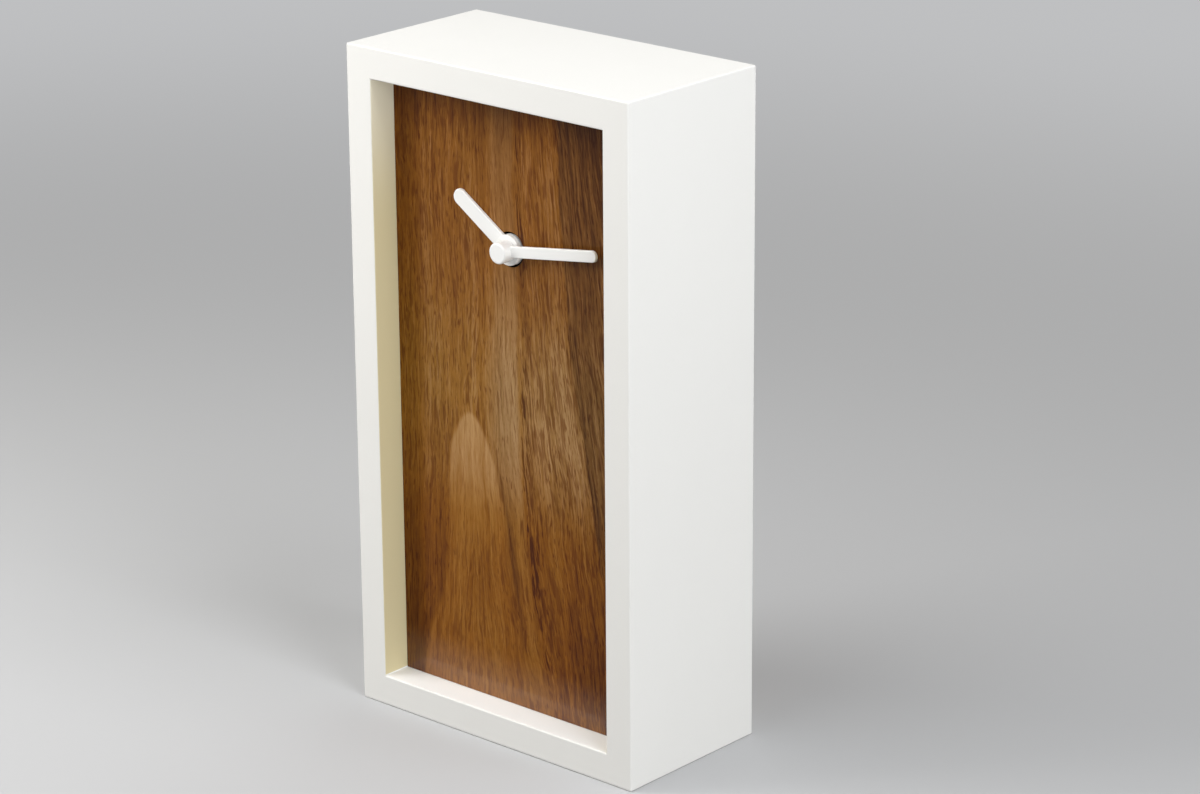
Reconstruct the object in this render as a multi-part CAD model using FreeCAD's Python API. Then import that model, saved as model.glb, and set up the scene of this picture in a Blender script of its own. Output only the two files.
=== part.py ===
import FreeCAD, Part
import math
import os

# A desk clock: a box of white solid-surface boards, open at the back, with a walnut dial set
# back from its front edge, two white hands and a battery quartz movement behind the dial.
# Millimetres. +X is right and +Z up as one faces the dial, +Y runs from the dial to the back.
# The origin is the middle of the footprint, on the surface that the clock stands on.

V = FreeCAD.Vector
TO_BACK = V(0, 1, 0)

# ---------------------------------------------------------------- driving dimensions
# Case
case_width = 137.0
case_height = 260.0
case_depth = 70.0
board = 12.0  # thickness of the solid-surface sheet
arris = 0.6  # rounding of the case's edges

# Dial and what holds it
dial_recess = 12.0  # from the case's front edge to the dial
dial_thickness = 6.0
dial_gap = 0.15  # all round, between the dial and the boards
batten_width = 8.0
batten_depth = 8.0
batten_end_gap = 14.0  # from a batten's end to the board
counterbore_diameter = 13.4
counterbore_depth = 3.4
bushing_hole_clearance = 0.2
axis_right = 1.1  # from the middle of the case to the hands' axis

# Hands. Heights are in front of the dial's face, angles clockwise from twelve.
hour_angle = 303.5
hour_length = 31.5
hour_width = 6.2
hour_tip_radius = 3.0  # of the two corners at the tip
hour_hub_diameter = 11.6
hour_hub_reach = 1.1  # of the hub into the counterbore
hour_hub_height = 1.65
hour_hub_edge = 0.3  # rounding of the hub's front edge
hour_blade_lift = 0.2
minute_angle = 81.6
minute_length = 45.4
minute_width = 4.3
minute_tip_radius = 2.05
minute_hub_diameter = 8.1
minute_hub_lift = 1.85
minute_hub_length = 5.4
minute_hub_edge = 0.8
minute_blade_lift = 2.9
minute_bore_depth = 3.4
blade_thickness = 1.1
blade_edge = 0.35  # rounding of a blade's front edges

# Clearances
running = 0.05  # a shaft in its hole, on the radius
fixed_fit = 0.02  # a piece pressed or glued on another, on the radius
end_shake = 0.15  # along a shaft, at each shoulder

# Central stack
gasket_diameter = 22.0
gasket_thickness = 1.0
thread_diameter = 7.9
thread_pitch = 0.75
thread_depth = 0.25
bushing_end_gap = 1.3  # from the bushing's end to the dial's face
bushing_flange_diameter = 12.0
bushing_flange = 1.0
nut_across_flats = 11.0
nut_height = 1.6
washer_diameter = 12.4
washer_thickness = 0.4
hour_tube_diameter = 5.0
minute_tube_diameter = 3.5
centre_bore_diameter = 1.5
second_arbor_diameter = 1.2

# Movement case
shell_wall = 1.2
shell_floor = 1.2
shell_corner = 3.0
above_axis = 28.0  # from the hands' axis to the top of the movement
gear_room = 0.48  # between the hour wheel and the wall over the battery
cover_skirt = 4.0
snap_width = 6.0
snap_reach = 3.5  # down past the cover's skirt
snap_thickness = 0.8
snap_nib = 1.5
knob_opening_clearance = 0.4

# Battery and its contacts
battery_diameter = 14.5
battery_length = 50.5  # with its terminal
sleeve_thickness = 0.25
terminal_diameter = 5.5
terminal_height = 1.0
terminal_base = 0.5
bay_clearance = 0.35
battery_floor_gap = 0.15
contact_space = 1.55  # from the battery's end to the bay's wall
contact_thickness = 0.3
contact_width = 9.0
contact_play = 0.1
contact_bump_diameter = 4.0
contact_arm = 2.0

# Wheels: tooth counts and the distances between arbors
addendum = 0.8  # in modules, as the next two are
dedendum = 1.15
backlash = 0.22
pressure_angle = math.radians(20)
cannon_teeth = 12
motion_wheel_teeth = 36
motion_pinion_teeth = 12
hour_teeth = 48
rotor_teeth = 8
intermediate_teeth = 48
intermediate_pinion_teeth = 12
second_teeth = 60
second_pinion_teeth = 8
third_teeth = 60
third_pinion_teeth = 8
centre_teeth = 64
motion_distance = 12.0  # from the hands' axis, as the next two are
third_distance = 9.5
intermediate_distance = 9.9
rotor_distance = 7.0  # from the intermediate arbor
motion_direction = 150.0  # degrees from +X towards +Z, as the next three are
third_direction = 30.0
intermediate_direction = 100.0
rotor_direction = 95.0

# Layers of the train, front to back
layer_gap = 0.4
hour_wheel_thickness = 1.0
motion_thickness = 1.2
plate_thickness = 1.0
wheel_thickness = 0.8
clutch_room = 0.6
bridge_thickness = 1.0
screw_head_room = 1.9

# Arbors, posts and screws
pivot_diameter = 1.0
arbor_diameter = 1.6
motion_arbor_diameter = 3.0
motion_pivot_diameter = 2.0
motion_pivot_depth = 0.6  # into the tray's floor
motion_boss_diameter = 5.0
cannon_shoulder_diameter = 4.4
clutch_seat_diameter = 3.2
clutch_spring_diameter = 8.0
clutch_spring_thickness = 0.25
post_diameter = 3.6
post_inset = 4.3  # from the inner walls to a post's axis
left_post_rise = 14.0  # of the upper posts above the hands' axis
right_post_rise = 11.0
screw_diameter = 1.6
screw_head_diameter = 3.2
screw_head_height = 1.0
screw_length = 8.0
plate_margin = 2.0

# Stepping motor
magnet_diameter = 5.2
magnet_length = 2.4
magnet_bore_diameter = 2.0
stator_thickness = 1.0
stator_lift = 1.4  # above the pillar plate
stator_bore_diameter = 6.2
stator_ring = 0.9  # width of metal round the bore
stator_bar = 5.2
stator_leg = 4.0
stator_left = 15.0  # reach from the hands' axis to each end
stator_right = 13.0
stator_pin_offset = 8.5  # from the rotor to the pin on each side of it
stator_pin_diameter = 1.4
stator_boss_diameter = 3.0
core_width = 2.4
winding_diameter = 5.6
bobbin_tube_wall = 0.4
bobbin_flange = 1.0
winding_wall_gap = 0.2  # from the winding to the top wall
coil_leg_gap = 1.0  # from a bobbin flange to the stator's leg

# Circuit board
circuit_width = 15.6
circuit_side_gap = 0.4  # from the circuit board to the contact on the wall
circuit_height = 11.0
circuit_thickness = 0.8
circuit_lift = 2.6  # above the tray's floor
circuit_top_gap = 0.6
circuit_post_diameter = 2.4
chip_diameter = 5.0
chip_height = 0.9
crystal_diameter = 2.0
crystal_length = 6.0

# Setting knob
knob_diameter = 12.0
knob_height = 4.0
knob_lift = 0.5  # off the cover
knob_flutes = 18
knob_flute_diameter = 1.2
knob_bore_depth = 3.0
knob_edge = 0.45  # rounding of its back edge

# ---------------------------------------------------------------- places worked out from them
case_front = -case_depth / 2
case_back = case_depth / 2
inner_half_width = case_width / 2 - board
axis_z = case_height - board - inner_half_width  # the hands sweep the square at the top
dial_front = case_front + dial_recess
dial_back = dial_front + dial_thickness
counterbore_floor = dial_front + counterbore_depth
movement_front = dial_back + gasket_thickness
floor_back = movement_front + shell_floor

movement_half = battery_length / 2 + contact_space + shell_wall
inner_half = movement_half - shell_wall
movement_top = axis_z + above_axis
inner_top = movement_top - shell_wall

flange_back = floor_back + bushing_flange
hour_layer = (flange_back + end_shake, flange_back + end_shake + hour_wheel_thickness)


def next_layer(layer, gap, thickness):
    """The layer that lies a gap behind another one."""
    return layer[1] + gap, layer[1] + gap + thickness


motion_layer = next_layer(hour_layer, layer_gap, motion_thickness)
plate_layer = next_layer(motion_layer, layer_gap, plate_thickness)
centre_layer = next_layer(plate_layer, layer_gap, wheel_thickness)
third_layer = next_layer(centre_layer, clutch_room, wheel_thickness)
second_layer = next_layer(third_layer, layer_gap, wheel_thickness)
rotor_layer = next_layer(second_layer, layer_gap, wheel_thickness)
bridge_layer = next_layer(rotor_layer, layer_gap, bridge_thickness)
cover_inside = bridge_layer[1] + screw_head_room
movement_back = cover_inside + shell_wall
skirt_front = movement_back - cover_skirt

motion_module = 2 * motion_distance / (cannon_teeth + motion_wheel_teeth)
hour_module = 2 * motion_distance / (motion_pinion_teeth + hour_teeth)
third_module = 2 * third_distance / (second_pinion_teeth + third_teeth)
centre_module = 2 * third_distance / (third_pinion_teeth + centre_teeth)
second_module = 2 * intermediate_distance / (intermediate_pinion_teeth + second_teeth)
rotor_module = 2 * rotor_distance / (rotor_teeth + intermediate_teeth)


def tip_radius(teeth, module):
    return (teeth / 2 + addendum) * module


def polar(origin, distance, degrees):
    """A point at a distance and direction from another, in the dial's plane."""
    turn = math.radians(degrees)
    return origin[0] + distance * math.cos(turn), origin[1] + distance * math.sin(turn)


# The hands and the movement are drawn about x = 0, and moved right onto their axis at the end.
AXIS = (0.0, axis_z)
AXIS_IN_CASE = (axis_right, axis_z)
motion_at = polar(AXIS, motion_distance, motion_direction)
third_at = polar(AXIS, third_distance, third_direction)
intermediate_at = polar(AXIS, intermediate_distance, intermediate_direction)
rotor_at = polar(intermediate_at, rotor_distance, rotor_direction)

partition_top = axis_z - tip_radius(hour_teeth, hour_module) - gear_room
bay_top = partition_top - shell_wall
bay_height = battery_diameter + 2 * bay_clearance
bay_bottom = bay_top - bay_height
movement_bottom = bay_bottom - shell_wall
battery_z = bay_top - bay_height / 2
battery_y = floor_back + battery_floor_gap + battery_diameter / 2

lower_post_z = partition_top + post_diameter / 2 + contact_thickness + end_shake
post_x = inner_half - post_inset
posts = [
    (-post_x, lower_post_z),
    (post_x, lower_post_z),
    (post_x, axis_z + right_post_rise),
    (-post_x, axis_z + left_post_rise),
]

stator_front = plate_layer[1] + stator_lift
stator_back = stator_front + stator_thickness
coil_y = stator_back + stator_thickness / 2
coil_z = inner_top - winding_wall_gap - winding_diameter / 2
stator_z = rotor_at[1]
magnet_front = stator_front + stator_thickness / 2 - magnet_length / 2

circuit_front = floor_back + circuit_lift
circuit_back = circuit_front + circuit_thickness
circuit_top = inner_top - circuit_top_gap
circuit_bottom = circuit_top - circuit_height
circuit_right = inner_half - contact_thickness - circuit_side_gap
circuit_left = circuit_right - circuit_width


# ---------------------------------------------------------------- shapes that repeat
def block(x, y, z):
    """A box between two values on each axis."""
    return Part.makeBox(x[1] - x[0], y[1] - y[0], z[1] - z[0], V(x[0], y[0], z[0]))


def rod(diameter, y_from, y_to, at=AXIS):
    """A cylinder that runs front to back."""
    return Part.makeCylinder(diameter / 2, y_to - y_from, V(at[0], y_from, at[1]), TO_BACK)


def ring(outer, inner, y_from, y_to, at=AXIS):
    return rod(outer, y_from, y_to, at).cut(rod(inner, y_from, y_to, at))


def prism(outline, y_from, y_to):
    """A flat outline of (x, z) corners, made thick from front to back."""
    corners = [V(x, y_from, z) for x, z in outline]
    face = Part.Face(Part.makePolygon(corners + corners[:1]))
    return face.extrude(V(0, y_to - y_from, 0))


def rounded_block(x, y, z, radius):
    """A box whose four edges that run front to back are rounded."""
    solid = block(x, y, z)
    edges = [e for e in solid.Edges if abs(e.tangentAt(e.FirstParameter).y) > 0.5]
    return solid.makeFillet(radius, edges)


def joined(*solids):
    """One solid out of several that touch or overlap."""
    return solids[0].multiFuse(list(solids[1:])).removeSplitter()


def gear(teeth, module, phase, layer, at=AXIS):
    """A spur wheel's toothed disc. A tooth is centred on phase, in degrees from +X towards +Z."""
    pitch_radius = teeth * module / 2
    base_radius = pitch_radius * math.cos(pressure_angle)
    root_radius = pitch_radius - dedendum * module
    outer_radius = tip_radius(teeth, module)
    half_tooth = (math.pi / 2 - backlash) / teeth

    def half_width_angle(radius):
        """Half of a tooth's width at a radius, as an angle, along the involute."""
        if radius <= base_radius:
            return half_width_angle(base_radius * 1.0001)
        turn = math.acos(base_radius / radius)
        flat = math.tan(pressure_angle) - pressure_angle
        return half_tooth + flat - (math.tan(turn) - turn)

    def point(radius, angle):
        return V(at[0] + radius * math.cos(angle), layer[0], at[1] + radius * math.sin(angle))

    flank_start = max(root_radius, base_radius)
    flank_middle = (flank_start + outer_radius) / 2
    pitch_angle = 2 * math.pi / teeth
    edges = []
    for tooth in range(teeth):
        middle = math.radians(phase) + tooth * pitch_angle
        foot, start = half_width_angle(root_radius), half_width_angle(flank_start)
        waist, tip = half_width_angle(flank_middle), half_width_angle(outer_radius)
        for side in (-1, 1):
            flank = [
                point(flank_start, middle + side * start),
                point(flank_middle, middle + side * waist),
                point(outer_radius, middle + side * tip),
            ]
            edges.append(Part.Arc(*flank).toShape())
            if root_radius < base_radius:
                root = point(root_radius, middle + side * foot)
                edges.append(Part.LineSegment(root, flank[0]).toShape())
        crest = [point(outer_radius, middle + turn) for turn in (-tip, 0, tip)]
        edges.append(Part.Arc(*crest).toShape())
        next_foot = middle + pitch_angle - foot
        valley = [middle + foot, middle + pitch_angle / 2, next_foot]
        edges.append(Part.Arc(*[point(root_radius, turn) for turn in valley]).toShape())
    outline = Part.Wire(Part.__sortEdges__(edges))
    return Part.Face(outline).extrude(V(0, layer[1] - layer[0], 0))


def meshed(phase, teeth, direction, other_teeth):
    """The phase at which a wheel meshes with one of a known phase that lies the other way."""
    offset = (phase - direction) * teeth / other_teeth
    return direction + 180 + 180 / other_teeth - offset


def pivoted(at, front_shoulder, back_shoulder):
    """An arbor between the pillar plate and the bridge, with a pivot at each end."""
    return joined(
        rod(arbor_diameter, front_shoulder, back_shoulder, at),
        rod(pivot_diameter, plate_layer[0], bridge_layer[1], at),
    )


# ---------------------------------------------------------------- case
def case_boards():
    """The four boards, mitred at the corners, as {name: solid}."""
    half = case_width / 2
    shell = block((-half, half), (case_front, case_back), (0, case_height))
    inside = block(
        (-inner_half_width, inner_half_width),
        (case_front - 1, case_back + 1),
        (board, case_height - board),
    )
    shell = shell.cut(inside)
    lengthways = [
        e
        for e in shell.Edges
        if abs(e.tangentAt(e.FirstParameter).y) > 0.5
        and abs(e.CenterOfMass.x) < inner_half_width + arris
    ]
    kept = {e.hashCode() for e in lengthways}
    shell = shell.makeFillet(arris, [e for e in shell.Edges if e.hashCode() not in kept])

    reach = 1.0  # the cutting wedges stand past the boards by this much
    middle = case_height / 2
    out_x, out_z = half + reach, middle + reach
    in_x, in_z = inner_half_width - reach, middle - board - reach
    ends = {"case_top": 1, "case_bottom": -1}
    sides = {"case_left": -1, "case_right": 1}
    wedges = {}
    for name, way in ends.items():
        outline = [(-out_x, out_z), (out_x, out_z), (in_x, in_z), (-in_x, in_z)]
        wedges[name] = [(x, middle + way * z) for x, z in outline]
    for name, way in sides.items():
        outline = [(out_x, out_z), (out_x, -out_z), (in_x, -in_z), (in_x, in_z)]
        wedges[name] = [(way * x, middle + z) for x, z in outline]
    return {
        name: shell.common(prism(outline, case_front - reach, case_back + reach))
        for name, outline in wedges.items()
    }


# ---------------------------------------------------------------- dial and hands
def walnut_dial():
    half = inner_half_width - dial_gap
    panel = block(
        (-half, half),
        (dial_front, dial_back),
        (board + dial_gap, case_height - board - dial_gap),
    )
    hole = thread_diameter + 2 * bushing_hole_clearance
    panel = panel.cut(
        rod(counterbore_diameter, dial_front - 1, counterbore_floor, AXIS_IN_CASE)
    )
    return panel.cut(rod(hole, dial_front, dial_back + 1, AXIS_IN_CASE))


def dial_batten(side):
    """A strip glued to a side board, against the back of the dial."""
    edges = sorted((side * inner_half_width, side * (inner_half_width - batten_width)))
    span = (board + batten_end_gap, case_height - board - batten_end_gap)
    return block(edges, (dial_back, dial_back + batten_depth), span)


def blade(length, width, corner_radius, lift):
    """A straight bar from the axis to a tip with rounded corners, pointing at twelve."""
    back, front = dial_front - lift, dial_front - lift - blade_thickness
    bar = block((-width / 2, width / 2), (front, back), (axis_z, axis_z + length))
    corners = [
        e
        for e in bar.Edges
        if abs(e.tangentAt(e.FirstParameter).y) > 0.5 and e.CenterOfMass.z > axis_z + 1e-3
    ]
    bar = bar.makeFillet(corner_radius, corners)
    on_front = [
        e
        for e in bar.Edges
        if abs(e.BoundBox.YMax - front) < 1e-6 and e.CenterOfMass.z > axis_z + 1e-3
    ]
    return bar.makeFillet(blade_edge, on_front)


def hub(diameter, front, back, edge):
    solid = rod(diameter, front, back)
    rim = [e for e in solid.Edges if abs(e.BoundBox.YMax - front) < 1e-6]
    return solid.makeFillet(edge, rim)


def turned(solid, degrees):
    """A hand, turned clockwise from twelve as one faces the dial."""
    solid.rotate(V(0, 0, axis_z), TO_BACK, degrees)
    return solid


def hour_hand():
    front, back = dial_front - hour_hub_height, dial_front + hour_hub_reach
    solid = joined(
        blade(hour_length, hour_width, hour_tip_radius, hour_blade_lift),
        hub(hour_hub_diameter, front, back, hour_hub_edge),
    )
    bore = rod(hour_tube_diameter + 2 * fixed_fit, front - 1, back + 1)
    return turned(solid.cut(bore), hour_angle)


def minute_hand():
    back = dial_front - minute_hub_lift
    solid = joined(
        blade(minute_length, minute_width, minute_tip_radius, minute_blade_lift),
        hub(minute_hub_diameter, back - minute_hub_length, back, minute_hub_edge),
    )
    bore = rod(minute_tube_diameter + 2 * fixed_fit, back - minute_bore_depth, back + 1)
    return turned(solid.cut(bore), minute_angle)


# ---------------------------------------------------------------- what fixes the movement
def threaded_bushing():
    """A flanged tube that the hour wheel turns in, with its thread cut as rings."""
    front, root = dial_front + bushing_end_gap, thread_diameter / 2 - thread_depth
    crest = thread_diameter / 2
    outline = [V(0, front, 0), V(root, front, 0)]
    turns = int((movement_front - front) / thread_pitch)
    for turn in range(turns):
        start = front + turn * thread_pitch
        outline.append(V(crest, start + thread_pitch / 2, 0))
        outline.append(V(root, start + thread_pitch, 0))
    outline += [V(root, flange_back, 0), V(0, flange_back, 0)]
    face = Part.Face(Part.makePolygon(outline + outline[:1]))
    stem = face.revolve(V(0, 0, 0), TO_BACK, 360)
    stem.translate(V(0, 0, axis_z))
    solid = joined(stem, rod(bushing_flange_diameter, floor_back, flange_back))
    bore = rod(hour_tube_diameter + 2 * running, front - 1, flange_back + 1)
    return solid.cut(bore)


def bushing_nut():
    front = counterbore_floor - washer_thickness - nut_height
    corner = nut_across_flats / 2 / math.cos(math.pi / 6)
    outline = [polar(AXIS, corner, 60 * k) for k in range(6)]
    body = prism(outline, front, front + nut_height)
    rounding = rod(nut_across_flats * 1.1, front, front + nut_height)
    bore = rod(thread_diameter + 2 * fixed_fit, front - 1, front + nut_height + 1)
    return body.common(rounding).cut(bore)


def nut_washer():
    hole = thread_diameter + bushing_hole_clearance
    return ring(washer_diameter, hole, counterbore_floor - washer_thickness, counterbore_floor)


def dial_gasket():
    hole = thread_diameter + bushing_hole_clearance
    return ring(gasket_diameter, hole, dial_back, movement_front)


# ---------------------------------------------------------------- movement case
def snap_places():
    """Where the cover's hooks grip the tray, as (x, z) of the hook's middle, and its side."""
    side_z = (partition_top + movement_top) / 2
    return [
        (-movement_half, side_z, "side"),
        (movement_half, side_z, "side"),
        (-movement_half / 2, movement_top, "top"),
        (movement_half / 2, movement_top, "top"),
    ]


def against_wall(place, width, thickness, y):
    """A block that lies on the outside of the movement's wall at a hook's place."""
    x, z, wall = place
    if wall == "top":
        return block((x - width / 2, x + width / 2), y, (z, z + thickness))
    span = sorted((x, x + math.copysign(thickness, x)))
    return block(span, y, (z - width / 2, z + width / 2))


def nib_depths(gap=0.0):
    front = skirt_front - snap_reach + snap_nib
    return front - gap, front + snap_nib + gap


def movement_tray():
    """The front half of the movement's case, with the battery bay."""
    half = movement_half
    outside = rounded_block(
        (-half, half),
        (movement_front, movement_back),
        (movement_bottom, movement_top),
        shell_corner,
    )
    bay = block((-inner_half, inner_half), (floor_back, movement_back), (bay_bottom, bay_top))
    room = block((-inner_half, inner_half), (floor_back, movement_back), (partition_top, inner_top))
    above = block((-half, half), (skirt_front, movement_back + 1), (bay_top, movement_top + 1))
    solid = outside.cut(bay).cut(room).cut(above)
    for side in (-1, 1):
        edges = sorted((side * inner_half, side * (inner_half - contact_thickness)))
        top = (floor_back, floor_back + 2 * contact_arm)
        solid = solid.cut(block(edges, top, (bay_top, partition_top)))
    added = [rod(post_diameter, floor_back, plate_layer[0], at) for at in posts]
    added.append(rod(motion_boss_diameter, floor_back, flange_back, motion_at))
    added += [rod(circuit_post_diameter, floor_back, circuit_front, at) for at in circuit_posts()]
    added += [
        against_wall(p, snap_width / 2, snap_thickness, nib_depths()) for p in snap_places()
    ]
    solid = joined(solid, *added)
    holes = [rod(thread_diameter + 2 * running, movement_front - 1, floor_back + 1)]
    pivot = motion_pivot_diameter + 2 * running
    holes.append(rod(pivot, floor_back - motion_pivot_depth, flange_back, motion_at))
    for at in posts:
        hole = screw_diameter + 2 * fixed_fit
        holes.append(rod(hole, bridge_layer[1] - screw_length, plate_layer[0], at))
    return solid.cut(Part.makeCompound(holes))


def movement_cover():
    """The lid over the wheels, with four hooks and the opening for the knob's stem."""
    half = movement_half
    outside = rounded_block(
        (-half, half), (skirt_front, movement_back), (bay_top, movement_top), shell_corner
    )
    square_foot = block((-half, half), (skirt_front, movement_back), (bay_top, partition_top))
    room = block((-inner_half, inner_half), (skirt_front, cover_inside), (partition_top, inner_top))
    hooks = [
        against_wall(p, snap_width, snap_thickness, (skirt_front - snap_reach, movement_back))
        for p in snap_places()
    ]
    windows = [
        against_wall(p, snap_width / 2 + 2 * end_shake, snap_thickness, nib_depths(end_shake))
        for p in snap_places()
    ]
    solid = joined(outside, square_foot, *hooks).cut(room)
    opening = motion_arbor_diameter + 2 * knob_opening_clearance
    windows.append(rod(opening, cover_inside - 1, movement_back + 1, motion_at))
    return solid.cut(Part.makeCompound(windows))


def circuit_posts():
    inset = circuit_post_diameter
    return [
        (circuit_left + inset, circuit_top - inset),
        (circuit_right - 2 * inset, circuit_bottom + inset),
    ]


def stator_pins():
    """Where the stator sits on the pillar plate."""
    return [(rotor_at[0] + side * stator_pin_offset, stator_z) for side in (-1, 1)]


def pillar_plate():
    """The plate between the motion work and the train."""
    left, right = -post_x - plate_margin, post_x + plate_margin
    low = lower_post_z - post_diameter / 2
    step = stator_pins()[1][0] + plate_margin
    outline = [
        (left, low),
        (right, low),
        (right, posts[2][1] + plate_margin),
        (step, posts[2][1] + plate_margin),
        (step, rotor_at[1] + plate_margin),
        (left, rotor_at[1] + plate_margin),
    ]
    solid = prism(outline, *plate_layer)
    bosses = [rod(stator_boss_diameter, plate_layer[1], stator_front, at) for at in stator_pins()]
    pins = [rod(stator_pin_diameter, plate_layer[1], stator_back, at) for at in stator_pins()]
    solid = joined(solid, *bosses, *pins)
    front, back = plate_layer[0] - 1, plate_layer[1] + 1
    holes = [rod(cannon_shoulder_diameter + 4 * running, front, back)]
    holes.append(rod(motion_arbor_diameter + 4 * running, front, back, motion_at))
    pivot = pivot_diameter + 2 * running
    holes += [rod(pivot, front, back, at) for at in (third_at, intermediate_at, rotor_at)]
    holes += [rod(screw_diameter + 2 * running, front, back, at) for at in posts]
    return solid.cut(Part.makeCompound(holes))


def train_bridge():
    """The plate behind the train, on four legs that stand on the pillar plate."""
    arms = []
    margin = plate_margin
    for at in posts:
        arms.append(rod(post_diameter, plate_layer[1], bridge_layer[1], at))
    xs = [at[0] for at in (AXIS, third_at, intermediate_at, rotor_at)]
    low, high = lower_post_z - post_diameter / 2, rotor_at[1] + margin
    body = block((min(xs) - margin, max(xs) + margin), bridge_layer, (low, high))
    foot = block((-post_x, post_x), bridge_layer, (low, low + post_diameter))
    arms.append(block((0, post_x), bridge_layer, (posts[2][1] - margin, posts[2][1] + margin)))
    arms.append(block((-post_x, 0), bridge_layer, (posts[3][1] - margin, posts[3][1] + margin)))
    solid = joined(body, foot, *arms)
    front, back = plate_layer[1] - 1, bridge_layer[1] + 1
    pivot = pivot_diameter + 2 * running
    centres = (AXIS, third_at, intermediate_at, rotor_at)
    holes = [rod(pivot, front, back, at) for at in centres]
    holes += [rod(screw_diameter + 2 * running, front, back, at) for at in posts]
    holes.append(rod(motion_arbor_diameter + 4 * running, front, back, motion_at))
    return solid.cut(Part.makeCompound(holes))


def bridge_screws():
    """The four screws that hold the bridge and the pillar plate to the tray's posts."""
    top = bridge_layer[1]
    made = []
    for at in posts:
        head = rod(screw_head_diameter, top, top + screw_head_height, at)
        slot = block(
            (at[0] - screw_head_diameter, at[0] + screw_head_diameter),
            (top + screw_head_height / 2, top + screw_head_height + 1),
            (at[1] - screw_head_height / 4, at[1] + screw_head_height / 4),
        )
        shank = rod(screw_diameter, top - screw_length, top, at)
        made.append(joined(head.cut(slot), shank))
    return Part.makeCompound(made)


# ---------------------------------------------------------------- motion work
cannon_phase = 0.0
motion_phase = meshed(cannon_phase, cannon_teeth, motion_direction, motion_wheel_teeth)
hour_phase = meshed(0.0, motion_pinion_teeth, motion_direction + 180, hour_teeth)
second_phase = 0.0
third_phase = meshed(0.0, second_pinion_teeth, third_direction, third_teeth)
centre_phase = meshed(0.0, third_pinion_teeth, third_direction + 180, centre_teeth)
intermediate_phase = meshed(
    second_phase, second_teeth, intermediate_direction, intermediate_pinion_teeth
)
rotor_phase = meshed(0.0, intermediate_teeth, rotor_direction, rotor_teeth)


def hour_wheel():
    """The hour wheel and the tube that carries the hour hand."""
    wheel = gear(hour_teeth, hour_module, hour_phase, hour_layer)
    tube = rod(hour_tube_diameter, dial_front - hour_hub_height, hour_layer[1])
    solid = joined(wheel, tube)
    bore = minute_tube_diameter + 4 * running
    return solid.cut(rod(bore, dial_front - hour_hub_height - 1, hour_layer[1] + 1))


def cannon_pinion():
    """The tube that carries the minute hand, with its pinion and the seat of the clutch."""
    front = dial_front - minute_hub_lift - minute_bore_depth + end_shake
    pinion = gear(cannon_teeth, motion_module, cannon_phase, motion_layer)
    tube = rod(minute_tube_diameter, front, motion_layer[1])
    shoulder = rod(cannon_shoulder_diameter, motion_layer[1], centre_layer[0])
    seat = rod(clutch_seat_diameter, centre_layer[0], centre_layer[1] + clutch_room / 2)
    solid = joined(tube, pinion, shoulder, seat)
    bore = rod(centre_bore_diameter, front - 1, third_layer[0])
    return solid.cut(bore)


def centre_wheel():
    """The wheel that drives the cannon pinion through the clutch."""
    wheel = gear(centre_teeth, centre_module, centre_phase, centre_layer)
    front, back = centre_layer
    return wheel.cut(rod(clutch_seat_diameter + 2 * running, front - 1, back + 1))


def clutch_spring():
    """The thin washer that presses the centre wheel on the cannon pinion's shoulder."""
    front = centre_layer[1]
    bore = clutch_seat_diameter + 2 * fixed_fit
    return ring(clutch_spring_diameter, bore, front, front + clutch_spring_thickness)


def motion_wheel():
    """The wheel and pinion between the cannon pinion and the hour wheel, on the knob's stem."""
    wheel = gear(motion_wheel_teeth, motion_module, motion_phase, motion_layer, motion_at)
    pinion = gear(motion_pinion_teeth, hour_module, 0.0, (hour_layer[0], motion_layer[0]), motion_at)
    front = floor_back - motion_pivot_depth + end_shake
    pivot = rod(motion_pivot_diameter, front, hour_layer[0], motion_at)
    stem_end = movement_back + knob_lift + knob_bore_depth - end_shake
    stem = rod(motion_arbor_diameter, motion_layer[1], stem_end, motion_at)
    return joined(pivot, pinion, wheel, stem)


def setting_knob():
    """The fluted knob that sets the hands, pressed on the motion wheel's stem."""
    front = movement_back + knob_lift
    back = front + knob_height
    solid = rod(knob_diameter, front, back, motion_at)
    rim = [e for e in solid.Edges if abs(e.BoundBox.YMin - back) < 1e-6]
    solid = solid.makeFillet(knob_edge, rim)
    cuts = [rod(motion_arbor_diameter + 2 * fixed_fit, front - 1, front + knob_bore_depth, motion_at)]
    for flute in range(knob_flutes):
        at = polar(motion_at, knob_diameter / 2 + knob_flute_diameter / 4, 360 / knob_flutes * flute)
        cuts.append(rod(knob_flute_diameter, front - 1, back + 1, at))
    return solid.cut(Part.makeCompound(cuts))


# ---------------------------------------------------------------- train
def third_wheel():
    """The wheel between the second wheel and the centre wheel."""
    pinion = gear(
        third_pinion_teeth, centre_module, 0.0, (centre_layer[0], third_layer[0]), third_at
    )
    wheel = gear(third_teeth, third_module, third_phase, third_layer, third_at)
    arbor = pivoted(third_at, plate_layer[1] + end_shake, bridge_layer[0] - end_shake)
    return joined(arbor, pinion, wheel)


def second_wheel():
    """The wheel that turns once a minute, on a thin arbor inside the cannon pinion."""
    pinion = gear(second_pinion_teeth, third_module, 0.0, (third_layer[0], second_layer[0]))
    wheel = gear(second_teeth, second_module, second_phase, second_layer)
    front = dial_front - minute_hub_lift
    arbor = rod(second_arbor_diameter, front, second_layer[1])
    collar = rod(arbor_diameter, second_layer[1], bridge_layer[0] - end_shake)
    pivot = rod(pivot_diameter, second_layer[1], bridge_layer[1])
    return joined(arbor, pinion, wheel, collar, pivot)


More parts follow.
